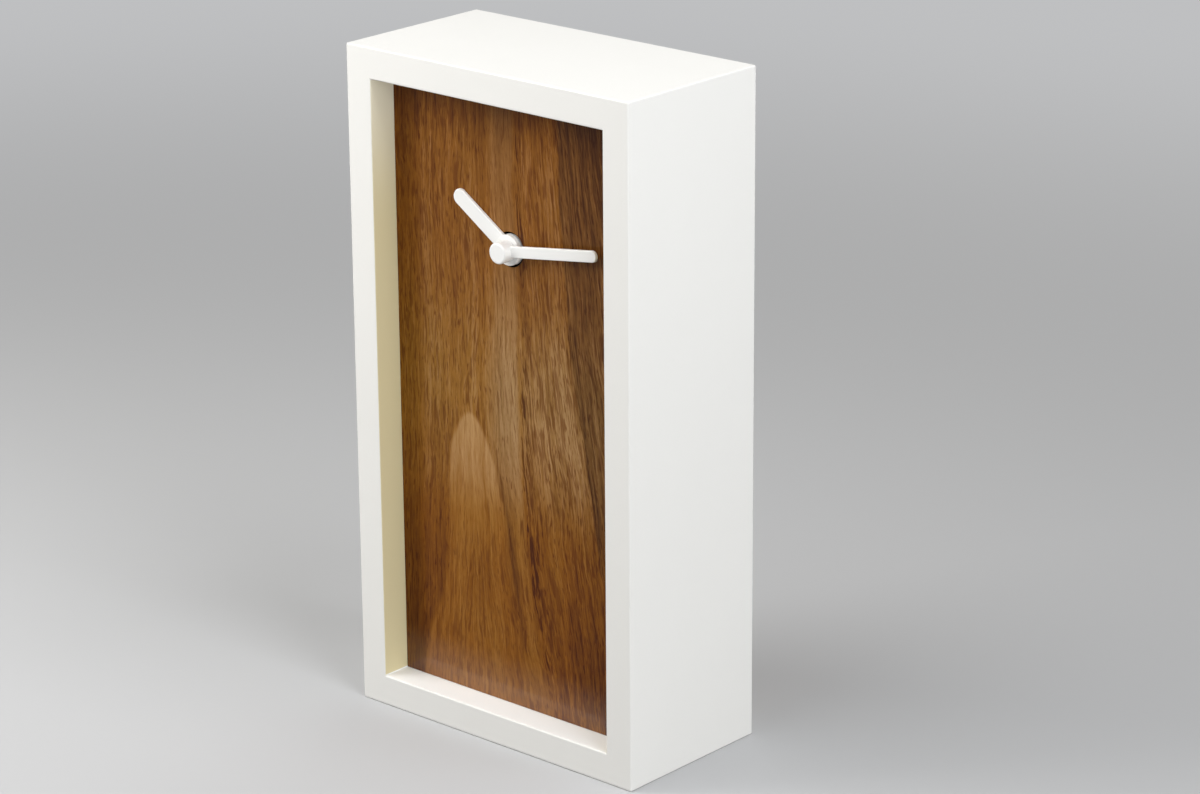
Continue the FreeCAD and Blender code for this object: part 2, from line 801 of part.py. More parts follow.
def intermediate_wheel():
    """The wheel between the rotor and the second wheel."""
    pinion = gear(
        intermediate_pinion_teeth,
        second_module,
        intermediate_phase,
        (second_layer[0], rotor_layer[0]),
        intermediate_at,
    )
    wheel = gear(intermediate_teeth, rotor_module, 0.0, rotor_layer, intermediate_at)
    arbor = pivoted(intermediate_at, plate_layer[1] + end_shake, bridge_layer[0] - end_shake)
    return joined(arbor, pinion, wheel)


def rotor_pinion():
    """The motor's pinion and spindle."""
    pinion = gear(rotor_teeth, rotor_module, rotor_phase, rotor_layer, rotor_at)
    core = rod(magnet_bore_diameter, magnet_front, magnet_front + magnet_length, rotor_at)
    arbor = pivoted(rotor_at, plate_layer[1] + end_shake, bridge_layer[0] - end_shake)
    return joined(arbor, core, pinion)


def rotor_magnet():
    bore = magnet_bore_diameter + 2 * fixed_fit
    return ring(magnet_diameter, bore, magnet_front, magnet_front + magnet_length, rotor_at)


# ---------------------------------------------------------------- stepping motor
def stator():
    """The sheet of iron round the rotor, with a leg up to each end of the coil's core."""
    half = stator_bar / 2
    bar = block(
        (-stator_left, stator_right), (stator_front, stator_back), (stator_z - half, stator_z + half)
    )
    top = coil_z + core_width / 2
    legs = [
        block((x, x + stator_leg), (stator_front, stator_back), (stator_z - half, top))
        for x in (-stator_left, stator_right - stator_leg)
    ]
    pole = rod(stator_bore_diameter + 2 * stator_ring, stator_front, stator_back, rotor_at)
    solid = joined(bar, pole, *legs)
    front, back = stator_front - 1, stator_back + 1
    holes = [rod(stator_bore_diameter, front, back, rotor_at)]
    holes += [rod(stator_pin_diameter + 2 * running, front, back, at) for at in stator_pins()]
    return solid.cut(Part.makeCompound(holes))


def along_coil(diameter, x_from, x_to):
    return Part.makeCylinder(diameter / 2, x_to - x_from, V(x_from, coil_y, coil_z), V(1, 0, 0))


coil_left = -stator_left + stator_leg + coil_leg_gap
coil_right = stator_right - stator_leg - coil_leg_gap


def coil_core():
    half = core_width / 2
    return block(
        (-stator_left, stator_right),
        (stator_back, stator_back + stator_thickness),
        (coil_z - half, coil_z + half),
    )


def core_slot(margin):
    half = core_width / 2 + margin
    depth = stator_thickness / 2 + margin
    return block(
        (coil_left - 1, coil_right + 1), (coil_y - depth, coil_y + depth), (coil_z - half, coil_z + half)
    )


def bobbin_tube_diameter():
    """Round enough to hold the flat core."""
    return math.hypot(core_width, stator_thickness) + 2 * bobbin_tube_wall


def coil_bobbin():
    solid = joined(
        along_coil(bobbin_tube_diameter(), coil_left, coil_right),
        along_coil(winding_diameter, coil_left, coil_left + bobbin_flange),
        along_coil(winding_diameter, coil_right - bobbin_flange, coil_right),
    )
    return solid.cut(core_slot(fixed_fit))


def coil_winding():
    ends = coil_left + bobbin_flange + fixed_fit, coil_right - bobbin_flange - fixed_fit
    outer = along_coil(winding_diameter - 2 * bobbin_tube_wall, *ends)
    return outer.cut(along_coil(bobbin_tube_diameter() + 2 * fixed_fit, *ends))


# ---------------------------------------------------------------- electronics and battery
def circuit_board():
    return block(
        (circuit_left, circuit_right), (circuit_front, circuit_back), (circuit_bottom, circuit_top)
    )


def timing_chip():
    """The drop of resin over the chip."""
    at = (circuit_left + circuit_width / 3, (circuit_bottom + circuit_top) / 2)
    solid = rod(chip_diameter, circuit_back, circuit_back + chip_height, at)
    rim = [e for e in solid.Edges if abs(e.BoundBox.YMin - circuit_back - chip_height) < 1e-6]
    return solid.makeFillet(chip_height / 2, rim)


def quartz_crystal():
    radius = crystal_diameter / 2
    x = circuit_right - crystal_diameter
    start = V(x, circuit_back + radius, circuit_bottom + crystal_diameter)
    return Part.makeCylinder(radius, crystal_length, start, V(0, 0, 1))


def positive_contact():
    """The strip at the battery's terminal, which runs up the wall to the circuit board."""
    wall, face = inner_half, inner_half - contact_thickness
    tall = (battery_y - contact_width / 2, battery_y + contact_width / 2)
    plate = block((face, wall), tall, (bay_bottom + bay_clearance, bay_top))
    bump = Part.makeCylinder(
        contact_bump_diameter / 2,
        face - battery_length / 2 - contact_play,
        V(battery_length / 2 + contact_play, battery_y, battery_z),
        V(1, 0, 0),
    )
    foot = (floor_back, floor_back + 2 * contact_arm)
    arm = block((face, wall), foot, (bay_bottom + bay_clearance, circuit_top))
    tab = block(
        (circuit_right - contact_arm, wall),
        (circuit_front - contact_thickness, circuit_front),
        (circuit_top - 2 * contact_arm, circuit_top - contact_arm),
    )
    return joined(plate, bump, arm, tab)


def negative_contact():
    """The bowed spring at the battery's flat end, and its strip along the wall to the board."""
    wall, face = -inner_half, -inner_half + contact_thickness
    crown = -battery_length / 2 - contact_play
    low, high = bay_bottom + bay_clearance, bay_top
    bow = [
        (wall, low),
        (face, low),
        (crown, battery_z - contact_bump_diameter / 2),
        (crown, battery_z + contact_bump_diameter / 2),
        (face, high),
        (wall, high),
        (crown - contact_thickness, battery_z + contact_bump_diameter / 2),
        (crown - contact_thickness, battery_z - contact_bump_diameter / 2),
    ]
    tall = (battery_y - contact_width / 2, battery_y + contact_width / 2)
    spring = prism(bow, *tall)
    foot = (floor_back, floor_back + contact_arm)
    rise = block((wall, face), (foot[0], tall[1]), (high - contact_thickness, high))
    riser = block((wall, face), foot, (high - contact_thickness, partition_top + contact_thickness))
    shelf = (partition_top, partition_top + contact_thickness)
    turn_x = post_x + post_diameter / 2 + end_shake
    run = block((wall, turn_x + contact_thickness), foot, shelf)
    climb = (partition_top, circuit_bottom + contact_arm)
    tail = block((turn_x, turn_x + contact_thickness), foot, climb)
    pad = block(
        (turn_x, turn_x + contact_thickness),
        (floor_back, circuit_front),
        (circuit_bottom, circuit_bottom + contact_arm),
    )
    return joined(spring, rise, riser, run, tail, pad)


def along_battery(diameter, x_from, x_to):
    start = V(x_from, battery_y, battery_z)
    return Part.makeCylinder(diameter / 2, x_to - x_from, start, V(1, 0, 0))


battery_left = -battery_length / 2
can_right = battery_length / 2 - terminal_height


def battery_can():
    inner = battery_diameter - 2 * sleeve_thickness
    solid = along_battery(inner, battery_left, can_right - terminal_base)
    return solid.makeFillet(sleeve_thickness, [e for e in solid.Edges if len(e.Vertexes) == 1])


def battery_sleeve():
    outer = along_battery(battery_diameter, battery_left + sleeve_thickness, can_right)
    inner = battery_diameter - 2 * sleeve_thickness
    return outer.cut(along_battery(inner, battery_left, battery_length / 2))


def battery_terminal():
    base = along_battery(
        battery_diameter - 2 * sleeve_thickness, can_right - terminal_base, can_right
    )
    return joined(base, along_battery(terminal_diameter, can_right, battery_length / 2))


# ---------------------------------------------------------------- all of it
IN_CASE = {
    "walnut_dial": walnut_dial,
    "dial_batten_left": lambda: dial_batten(-1),
    "dial_batten_right": lambda: dial_batten(1),
}
ABOUT_AXIS = {
    "hour_hand": hour_hand,
    "minute_hand": minute_hand,
    "threaded_bushing": threaded_bushing,
    "bushing_nut": bushing_nut,
    "nut_washer": nut_washer,
    "dial_gasket": dial_gasket,
    "movement_tray": movement_tray,
    "movement_cover": movement_cover,
    "pillar_plate": pillar_plate,
    "train_bridge": train_bridge,
    "bridge_screws": bridge_screws,
    "hour_wheel": hour_wheel,
    "cannon_pinion": cannon_pinion,
    "centre_wheel": centre_wheel,
    "clutch_spring": clutch_spring,
    "motion_wheel": motion_wheel,
    "setting_knob": setting_knob,
    "third_wheel": third_wheel,
    "second_wheel": second_wheel,
    "intermediate_wheel": intermediate_wheel,
    "rotor_pinion": rotor_pinion,
    "rotor_magnet": rotor_magnet,
    "stator": stator,
    "coil_core": coil_core,
    "coil_bobbin": coil_bobbin,
    "coil_winding": coil_winding,
    "circuit_board": circuit_board,
    "timing_chip": timing_chip,
    "quartz_crystal": quartz_crystal,
    "positive_contact": positive_contact,
    "negative_contact": negative_contact,
    "battery_can": battery_can,
    "battery_sleeve": battery_sleeve,
    "battery_terminal": battery_terminal,
}


def main():
    os.makedirs("parts", exist_ok=True)
    made = case_boards()
    made.update({name: make() for name, make in IN_CASE.items()})
    for name, make in ABOUT_AXIS.items():
        made[name] = make()
        made[name].translate(V(axis_right, 0, 0))
    for name, shape in made.items():
        shape.exportStep(f"parts/{name}.step")
        flaw = "" if shape.isValid() else "  NOT VALID"
        print(f"{name:20} {len(shape.Solids)} solid(s) {shape.Volume:10.1f} mm3{flaw}")


main()
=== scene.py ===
import math

import bmesh
import bpy
from bpy.props import FloatProperty, FloatVectorProperty, IntProperty, PointerProperty
from mathutils import Matrix, Vector


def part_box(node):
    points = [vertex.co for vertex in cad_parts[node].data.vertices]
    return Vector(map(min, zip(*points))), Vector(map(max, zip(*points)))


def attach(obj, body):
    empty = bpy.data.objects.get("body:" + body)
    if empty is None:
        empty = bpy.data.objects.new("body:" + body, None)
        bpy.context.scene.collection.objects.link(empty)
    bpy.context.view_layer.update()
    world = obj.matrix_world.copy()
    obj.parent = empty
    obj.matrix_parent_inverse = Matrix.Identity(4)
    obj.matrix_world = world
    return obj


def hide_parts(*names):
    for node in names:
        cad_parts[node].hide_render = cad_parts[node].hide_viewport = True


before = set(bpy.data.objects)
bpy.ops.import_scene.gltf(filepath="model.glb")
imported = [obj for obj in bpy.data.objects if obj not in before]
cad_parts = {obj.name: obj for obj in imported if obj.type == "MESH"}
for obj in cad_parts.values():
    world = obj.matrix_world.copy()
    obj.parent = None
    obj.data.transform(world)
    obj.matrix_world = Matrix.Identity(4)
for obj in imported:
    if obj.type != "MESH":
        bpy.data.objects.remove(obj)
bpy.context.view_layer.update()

bl_info = {
    "name": "White Desk Clock",
    "version": (1, 0, 0),
    "blender": (4, 5, 0),
    "location": "View3D > Sidebar > Desk Clock",
    "description": "Dresses a white desk clock with a walnut dial and its quartz movement",
    "category": "Object",
}

MM = 0.001


# ------------------------------------------------------------------ places read from the CAD parts
def middle(node):
    low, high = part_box(node)
    return (low + high) / 2


DIAL_LOW, DIAL_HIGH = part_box("walnut_dial")
AXIS = middle("second_wheel")  # the hands and the centre of the movement turn about this line
COVER_LOW, COVER_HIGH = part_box("movement_cover")
NEST = 0.03 * MM  # how far a piece is sunk into what it sits on


# ------------------------------------------------------------------ settings
def colour_setting(name, description, default):
    return FloatVectorProperty(
        name=name, description=description, default=default, size=3, min=0, max=1, subtype="COLOR"
    )


def length_setting(name, description, default):
    return FloatProperty(
        name=name, description=description, default=default, min=0, subtype="DISTANCE", unit="LENGTH"
    )


def share_setting(name, description, default):
    return FloatProperty(
        name=name, description=description, default=default, min=0, max=1, subtype="FACTOR"
    )


def power_setting(name, default):
    return FloatProperty(name=name, description="Its power", default=default, min=0, unit="POWER")


class CaseSettings(bpy.types.PropertyGroup):
    """The white boards."""

    white: colour_setting("White", "Colour of the solid-surface sheet", (0.865, 0.858, 0.83))
    # painted shade: a warm cream for the shade and bounce light from the walnut on the recess's side walls
    painted_wall_shade: colour_setting("Painted Wall Shade", "Colour of the recess's side walls", (0.675, 0.605, 0.375))
    # painted light: a whiter colour for the light on the board in front of the dial
    painted_light_ledge: colour_setting("Ledge", "Colour of the board in front of the dial", (0.95, 0.97, 0.975))
    gloss_loss: share_setting("Roughness", "How matt the sanded sheet is", 0.55)
    speck: length_setting("Speck", "Size of the sheet's mineral specks", 0.7 * MM)


class DialSettings(bpy.types.PropertyGroup):
    """The walnut panel and the battens behind it."""

    light: colour_setting("Light wood", "Colour of the palest grain", (0.40, 0.208, 0.078))
    mid: colour_setting("Mid wood", "Colour of most of the panel", (0.235, 0.092, 0.012))
    dark: colour_setting("Dark wood", "Colour of the darkest grain", (0.105, 0.030, 0.002))
    grey: colour_setting("Grey wood", "Colour of the greyish streak past the hub", (0.27, 0.150, 0.066))
    heart: colour_setting("Heartwood", "Colour of the dark column at the right", (0.125, 0.055, 0.018))
    pore: colour_setting("Pores", "What the pores leave of the wood's colour", (0.41, 0.235, 0.07))
    arch_tip: length_setting("Arch tip", "Height of the top of the pale arch", 124 * MM)
    pore_width: length_setting("Pore width", "Width of a pore across the grain", 0.46 * MM)
    pore_length: length_setting("Pore length", "Length of a pore along the grain", 4.6 * MM)
    batten: colour_setting("Batten", "Colour of the battens' pale wood", (0.56, 0.39, 0.21))
    glue_width: length_setting("Glue bead", "Width of the glue bead round the dial", 1.6 * MM)


class HandSettings(bpy.types.PropertyGroup):
    """The two hands."""

    white: colour_setting("White", "Colour of the hands' paint", (0.925, 0.925, 0.912))
    gloss_loss: share_setting("Roughness", "How matt the paint is", 0.34)


class MovementSettings(bpy.types.PropertyGroup):
    """The quartz movement's case and works."""

    plastic: colour_setting("Case plastic", "Colour of the movement's case", (0.032, 0.032, 0.034))
    works: colour_setting("Wheel plastic", "Colour of the moulded wheels", (0.74, 0.73, 0.69))
    relief: length_setting("Relief", "Height of the marks moulded on the cover", 0.42 * MM)
    ribs: IntProperty(name="Ribs", description="Number of grip ribs on the cover", default=13, min=1)
    rib_pitch: length_setting("Rib pitch", "Distance between grip ribs", 1.5 * MM)
    wire: length_setting("Wire", "Thickness of the coil's wire", 0.15 * MM)


class BatterySettings(bpy.types.PropertyGroup):
    """The cell."""

    jacket: colour_setting("Jacket", "Colour of the printed jacket", (0.035, 0.075, 0.135))
    band: colour_setting("Band", "Colour of the jacket's bands", (0.62, 0.63, 0.64))
    band_width: length_setting("Band width", "Width of the band at the raised end", 8.5 * MM)


class StageSettings(bpy.types.PropertyGroup):
    """The floor, the lamps and the camera."""

    floor: colour_setting("Floor", "Colour of the floor and what lies beyond it", (0.52, 0.525, 0.535))
    bounce: share_setting("Bounce", "How much of its light the floor gives back to the clock", 0.45)
    sky: share_setting("Room light", "Strength of the even light from all round", 0.18)
    lens: FloatProperty(
        name="Lens", description="Focal length", default=117.1, min=1, subtype="DISTANCE_CAMERA"
    )
    overhead: power_setting("Overhead lamp", 3.25)
    front: power_setting("Front lamp", 3.85)
    side: power_setting("Side lamp", 4.15)
    low: power_setting("Low lamp", 11.0)
    back: power_setting("Back lamp", 25.0)


SETTINGS = {
    "clock_case": CaseSettings,
    "clock_dial": DialSettings,
    "clock_hands": HandSettings,
    "clock_movement": MovementSettings,
    "clock_battery": BatterySettings,
    "clock_stage": StageSettings,
}


# ------------------------------------------------------------------ node trees in code
def rgba(colour):
    return tuple(colour) + (1.0,)


def socket_name(word):
    """A socket's name as Blender writes it, such as Coat IOR for coat_ior."""
    return word.replace("_", " ").title().replace("Ior", "IOR")


class Step:
    """The output of a node. Arithmetic on it adds further nodes."""

    def __init__(self, graph, socket):
        self.graph = graph
        self.socket = socket

    def __add__(self, other):
        return self.graph.math("ADD", self, other)

    def __radd__(self, other):
        return self.graph.math("ADD", other, self)

    def __sub__(self, other):
        return self.graph.math("SUBTRACT", self, other)

    def __rsub__(self, other):
        return self.graph.math("SUBTRACT", other, self)

    def __mul__(self, other):
        return self.graph.math("MULTIPLY", self, other)

    def __truediv__(self, other):
        return self.graph.math("DIVIDE", self, other)

    def __rtruediv__(self, other):
        return self.graph.math("DIVIDE", other, self)

    def __pow__(self, other):
        return self.graph.math("POWER", self, other)

    def __abs__(self):
        return self.graph.math("ABSOLUTE", self)


class Graph:
    """A node tree under construction, shader or geometry."""

    def __init__(self, tree):
        self.tree = tree

    def add(self, kind, inputs=None, **settings):
        node = self.tree.nodes.new(kind)
        for name, value in settings.items():
            setattr(node, name, value)
        for key, value in (inputs or {}).items():
            self.feed(node.inputs[key], value)
        return node

    def feed(self, socket, value):
        if isinstance(value, Step):
            self.tree.links.new(value.socket, socket)
        else:
            socket.default_value = value

    def give(self, node, **values):
        """Feeds a node's inputs by name."""
        for word, value in values.items():
            self.feed(node.inputs[socket_name(word)], value)

    def out(self, node, key=0):
        return Step(self, node.outputs[key])

    def math(self, operation, *values, clamp=False):
        node = self.add("ShaderNodeMath", operation=operation, use_clamp=clamp)
        for socket, value in zip(node.inputs, values):
            self.feed(socket, value)
        return self.out(node)

    def clamped(self, value):
        return self.math("ADD", value, 0.0, clamp=True)

    def most(self, first, *others):
        """The greatest of some values."""
        for other in others:
            first = self.math("MAXIMUM", first, other)
        return first

    def ease(self, value, start, end, low=0.0, high=1.0):
        """Goes smoothly from low to high as the value goes from start to end."""
        node = self.add("ShaderNodeMapRange", interpolation_type="SMOOTHSTEP")
        for key, number in zip(("Value", "From Min", "From Max", "To Min", "To Max"),
                               (value, start, end, low, high)):
            self.feed(node.inputs[key], number)
        return self.out(node)

    def bump_at(self, value, centre, width):
        """One at the centre, easing to nothing at half the width to each side."""
        return self.ease(abs(value - centre), width / 2, 0.0)

    def join(self, x, y, z):
        return self.out(self.add("ShaderNodeCombineXYZ", {"X": x, "Y": y, "Z": z}))

    def even(self, value):
        """A grey of the value's brightness."""
        return self.join(value, value, value)

    def split(self, vector):
        node = self.add("ShaderNodeSeparateXYZ", {"Vector": vector})
        return [self.out(node, key) for key in "XYZ"]

    def place(self, centre=(0, 0, 0)):
        """Object coordinates from a centre, in millimetres."""
        coordinates = self.out(self.add("ShaderNodeTexCoord"), "Object")
        node = self.add("ShaderNodeMapping", {"Vector": coordinates}, vector_type="POINT")
        node.inputs["Location"].default_value = [-part / MM for part in centre]
        node.inputs["Scale"].default_value = [1 / MM] * 3
        return self.out(node)

    def noise(self, vector, scale=1.0, detail=2.0, roughness=0.5, distortion=0.0):
        inputs = {
            "Vector": vector,
            "Scale": scale,
            "Detail": detail,
            "Roughness": roughness,
            "Distortion": distortion,
        }
        return self.out(self.add("ShaderNodeTexNoise", inputs), "Fac")

    def sway(self, vector):
        """Noise about zero, mostly within one of it."""
        return (self.noise(vector) - 0.5) * 5.0

    def pits(self, vector, scale):
        """Soft round dents, lowest in their middles."""
        node = self.add("ShaderNodeTexVoronoi", {"Vector": vector, "Scale": scale}, feature="SMOOTH_F1")
        return self.out(node, "Distance")

    def length(self, vector):
        node = self.add("ShaderNodeVectorMath", {0: vector}, operation="LENGTH")
        return self.out(node, "Value")

    def mix(self, share, first, second, blend="MIX"):
        """Goes from the first colour to the second as the share goes from nought to one."""
        node = self.add("ShaderNodeMix", data_type="RGBA", blend_type=blend)
        for index, value in ((0, share), (6, first), (7, second)):
            self.feed(node.inputs[index], value)
        return self.out(node, 2)

    def times(self, colour, tint):
        return self.mix(1.0, colour, tint, "MULTIPLY")

    def tinted(self, share, colour, tint):
        """The colour, with a share of it multiplied by a tint."""
        return self.mix(share, colour, self.times(colour, tint))

    def ramp(self, value, stops):
        node = self.add("ShaderNodeValToRGB", {"Fac": value})
        elements = node.color_ramp.elements
        while len(elements) < len(stops):
            elements.new(0.5)
        for element, (position, colour) in zip(elements, stops):
            element.position = position
            element.color = colour
        return self.out(node)

    def group(self, name, **inputs):
        """A placed copy of a node group, as a function from output names to steps."""
        node = self.add("ShaderNodeGroup", node_tree=bpy.data.node_groups[name])
        self.give(node, **inputs)
        return lambda key: self.out(node, key)


SOCKETS = {
    "number": "NodeSocketFloat",
    "count": "NodeSocketInt",
    "vector": "NodeSocketVector",
    "colour": "NodeSocketColor",
    "geometry": "NodeSocketGeometry",
    "material": "NodeSocketMaterial",
}


def new_tree(name, kind, inputs, outputs):
    """An empty node group with its sockets, its graph, its inputs and its output node."""
    tree = bpy.data.node_groups.new(name, kind)
    for socket, sort, default in inputs:
        made = tree.interface.new_socket(socket, in_out="INPUT", socket_type=SOCKETS[sort])
        if default is not None:
            made.default_value = default
    for socket, sort in outputs:
        tree.interface.new_socket(socket, in_out="OUTPUT", socket_type=SOCKETS[sort])
    graph = Graph(tree)
    start, end = graph.add("NodeGroupInput"), graph.add("NodeGroupOutput")
    given = {socket: graph.out(start, socket) for socket, _, _ in inputs}
    return graph, given, end


# ------------------------------------------------------------------ effects shared by materials
def make_wood_grain():
    """Streaks, fine fibres and pores that run along one direction. Sizes are in millimetres."""
    inputs = [
        ("Across", "number", 0.0),
        ("Depth", "number", 0.0),
        ("Along", "number", 0.0),
        ("Streak Width", "number", 1.6),
        ("Streak Length", "number", 45.0),
        ("Pore Width", "number", 0.4),
        ("Pore Length", "number", 4.0),
        ("Pore Threshold", "number", 0.55),
    ]
    outputs = [("Streaks", "number"), ("Fibres", "number"), ("Pores", "number")]
    graph, given, end = new_tree("Wood Grain", "ShaderNodeTree", inputs, outputs)
    across, depth, along = given["Across"], given["Depth"], given["Along"]

    def stretched(width, length, detail):
        return graph.noise(graph.join(across / width, depth / width, along / length),
                           detail=detail, roughness=0.55, distortion=0.12)

    width, length = given["Pore Width"], given["Pore Length"]
    streaks = stretched(given["Streak Width"], given["Streak Length"], 3)
    fibres = stretched(width * 1.5, length * 2.5, 3)
    pores = stretched(width * 1.25, length * 1.25, 1.5)
    pore_edge = given["Pore Threshold"]
    graph.give(
        end,
        streaks=graph.ease(streaks, 0.28, 0.72),
        fibres=graph.ease(fibres, 0.28, 0.72),
        pores=graph.ease(pores, pore_edge, pore_edge + 0.1),
    )


def make_fine_mottle():
    """Small pale and dark specks in a moulded or cast surface, with a faint unevenness."""
    inputs = [
        ("Place", "vector", None),
        ("Colour", "colour", (0.5, 0.5, 0.5, 1)),
        ("Size", "number", 1.0),
        ("Contrast", "number", 0.03),
    ]
    outputs = [("Colour", "colour"), ("Height", "number"), ("Patches", "number")]
    graph, given, end = new_tree("Fine Mottle", "ShaderNodeTree", inputs, outputs)
    scale = 1.0 / given["Size"]
    specks = graph.noise(given["Place"], scale=scale, detail=3, roughness=0.65)
    patches = graph.noise(given["Place"], scale=scale * 0.04, detail=2)
    lift = (specks - 0.5) * given["Contrast"] * 2.0 + (patches - 0.5) * given["Contrast"] + 1.0
    tint = graph.times(given["Colour"], graph.even(lift))
    graph.give(end, colour=tint, height=specks, patches=patches)


def make_moulded_skin():
    """The fine pits that a spark-cut mould leaves on plastic, shinier and duller in places."""
    inputs = [("Place", "vector", None), ("Pit Size", "number", 0.25), ("Roughness", "number", 0.5)]
    outputs = [("Height", "number"), ("Roughness", "number")]
    graph, given, end = new_tree("Moulded Skin", "ShaderNodeTree", inputs, outputs)
    pits = graph.pits(given["Place"], 1.0 / given["Pit Size"])
    wear = graph.noise(given["Place"], scale=0.07, detail=5, roughness=0.7)
    rough = given["Roughness"] + (wear - 0.5) * 0.22 + pits * 0.08
    graph.give(end, height=pits, roughness=rough)


def make_drawn_lines():
    """Fine lines that rolling, turning or brushing leaves on metal."""
    inputs = [
        ("Place", "vector", None),
        ("Line Width", "number", 0.08),
        ("Line Length", "number", 6.0),
        ("Roughness", "number", 0.3),
    ]
    outputs = [("Height", "number"), ("Roughness", "number"), ("Tarnish", "number")]
    graph, given, end = new_tree("Drawn Lines", "ShaderNodeTree", inputs, outputs)
    x, y, z = graph.split(given["Place"])
    width, length = given["Line Width"], given["Line Length"]
    lines = graph.noise(graph.join(x / length, y / width, z / width), detail=2)
    tarnish = graph.noise(given["Place"], scale=0.22, detail=4, roughness=0.6)
    rough = given["Roughness"] + (lines - 0.5) * 0.2 + (tarnish - 0.5) * 0.16
    graph.give(end, height=lines, roughness=rough, tarnish=graph.ease(tarnish, 0.5, 0.72))


def make_effects():
    make_wood_grain()
    make_fine_mottle()
    make_moulded_skin()
    make_drawn_lines()


# ------------------------------------------------------------------ materials
def new_material(name, **constants):
    """A material with a Principled shader, whose even values are set on its own sockets."""
    material = bpy.data.materials.new(name)
    material.use_nodes = True
    graph = Graph(material.node_tree)
    shader = material.node_tree.nodes["Principled BSDF"]
    graph.give(shader, **constants)
    return material, graph, shader


def dress(graph, shader, colour, roughness, height, depth):
    """Feeds a shader's colour and roughness, and raises its surface by the height times the depth."""
    bump = graph.add("ShaderNodeBump", {"Height": height, "Strength": 1.0, "Distance": depth})
    graph.give(shader, base_color=colour, roughness=roughness, normal=graph.out(bump, "Normal"))


def white_solid_surface(settings):
    """Sanded acrylic sheet: warm white, satin, with mineral specks too small to stand out, painted shade on
    the recess's side walls and painted light on the board in front of the dial.
    """
    material, graph, shader = new_material("white solid surface", specular_ior_level=0.3)
    place = graph.place()
    mottle = graph.group("Fine Mottle", place=place, colour=rgba(settings.white),
                         size=settings.speck / MM, contrast=0.016)
    sanding = graph.noise(place, scale=5.5, detail=2, roughness=0.6)
    smudge = graph.noise(place, scale=0.035, detail=3, roughness=0.55, distortion=0.6)
    x, y, z = graph.split(place)
    half_opening = -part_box("dial_batten_left")[0].x / MM
    face, foot, top = DIAL_LOW.y / MM, DIAL_LOW.z / MM, DIAL_HIGH.z / MM

    # painted shade: the side walls in front of the dial are a warm cream for their shade and the walnut's
    # bounce light, and paler towards the top as painted light there
    walls = graph.ease(abs(x), half_opening + 0.3, half_opening + 0.05) * graph.ease(y, face + 1.0, face)
    walls = walls * graph.ease(z, foot, foot + 0.5) * graph.ease(z, top, top - 0.5)
    pale_from = 190.0
    paler = rgba([math.sqrt(part) for part in settings.painted_wall_shade])
    painted_wall_tint = graph.mix(graph.ease(z, pale_from, top), rgba(settings.painted_wall_shade), paler)
    tint = graph.mix(walls, mottle("Colour"), painted_wall_tint)

    # painted light: the board that the dial stands on is painted whiter than the sheet, for the light it
    # catches
    painted_light_ledge = graph.ease(z, foot - 0.3, foot - 0.05) * graph.ease(z, foot + 0.3, foot + 0.05)
    painted_light_ledge = painted_light_ledge * graph.ease(y, face + 0.3, face)
    painted_light_ledge = painted_light_ledge * graph.ease(abs(x), half_opening + 0.05, half_opening)
    tint = graph.mix(painted_light_ledge, tint, rgba(settings.painted_light_ledge))

    rough = settings.gloss_loss + (smudge - 0.5) * 0.10 + (sanding - 0.5) * 0.08
    dress(graph, shader, tint, rough, sanding + mottle("Height") * 0.5, 0.012 * MM)
    return material


def hand_paint(settings):
    """Satin white paint on the hands, with a faint orange peel."""
    material, graph, shader = new_material("white hand paint", specular_ior_level=0.5)
    mottle = graph.group("Fine Mottle", place=graph.place(AXIS), colour=rgba(settings.white),
                         size=0.5, contrast=0.012)
    rough = settings.gloss_loss + (mottle("Patches") - 0.5) * 0.12
    dress(graph, shader, mottle("Colour"), rough, mottle("Height"), 0.008 * MM)
    return material


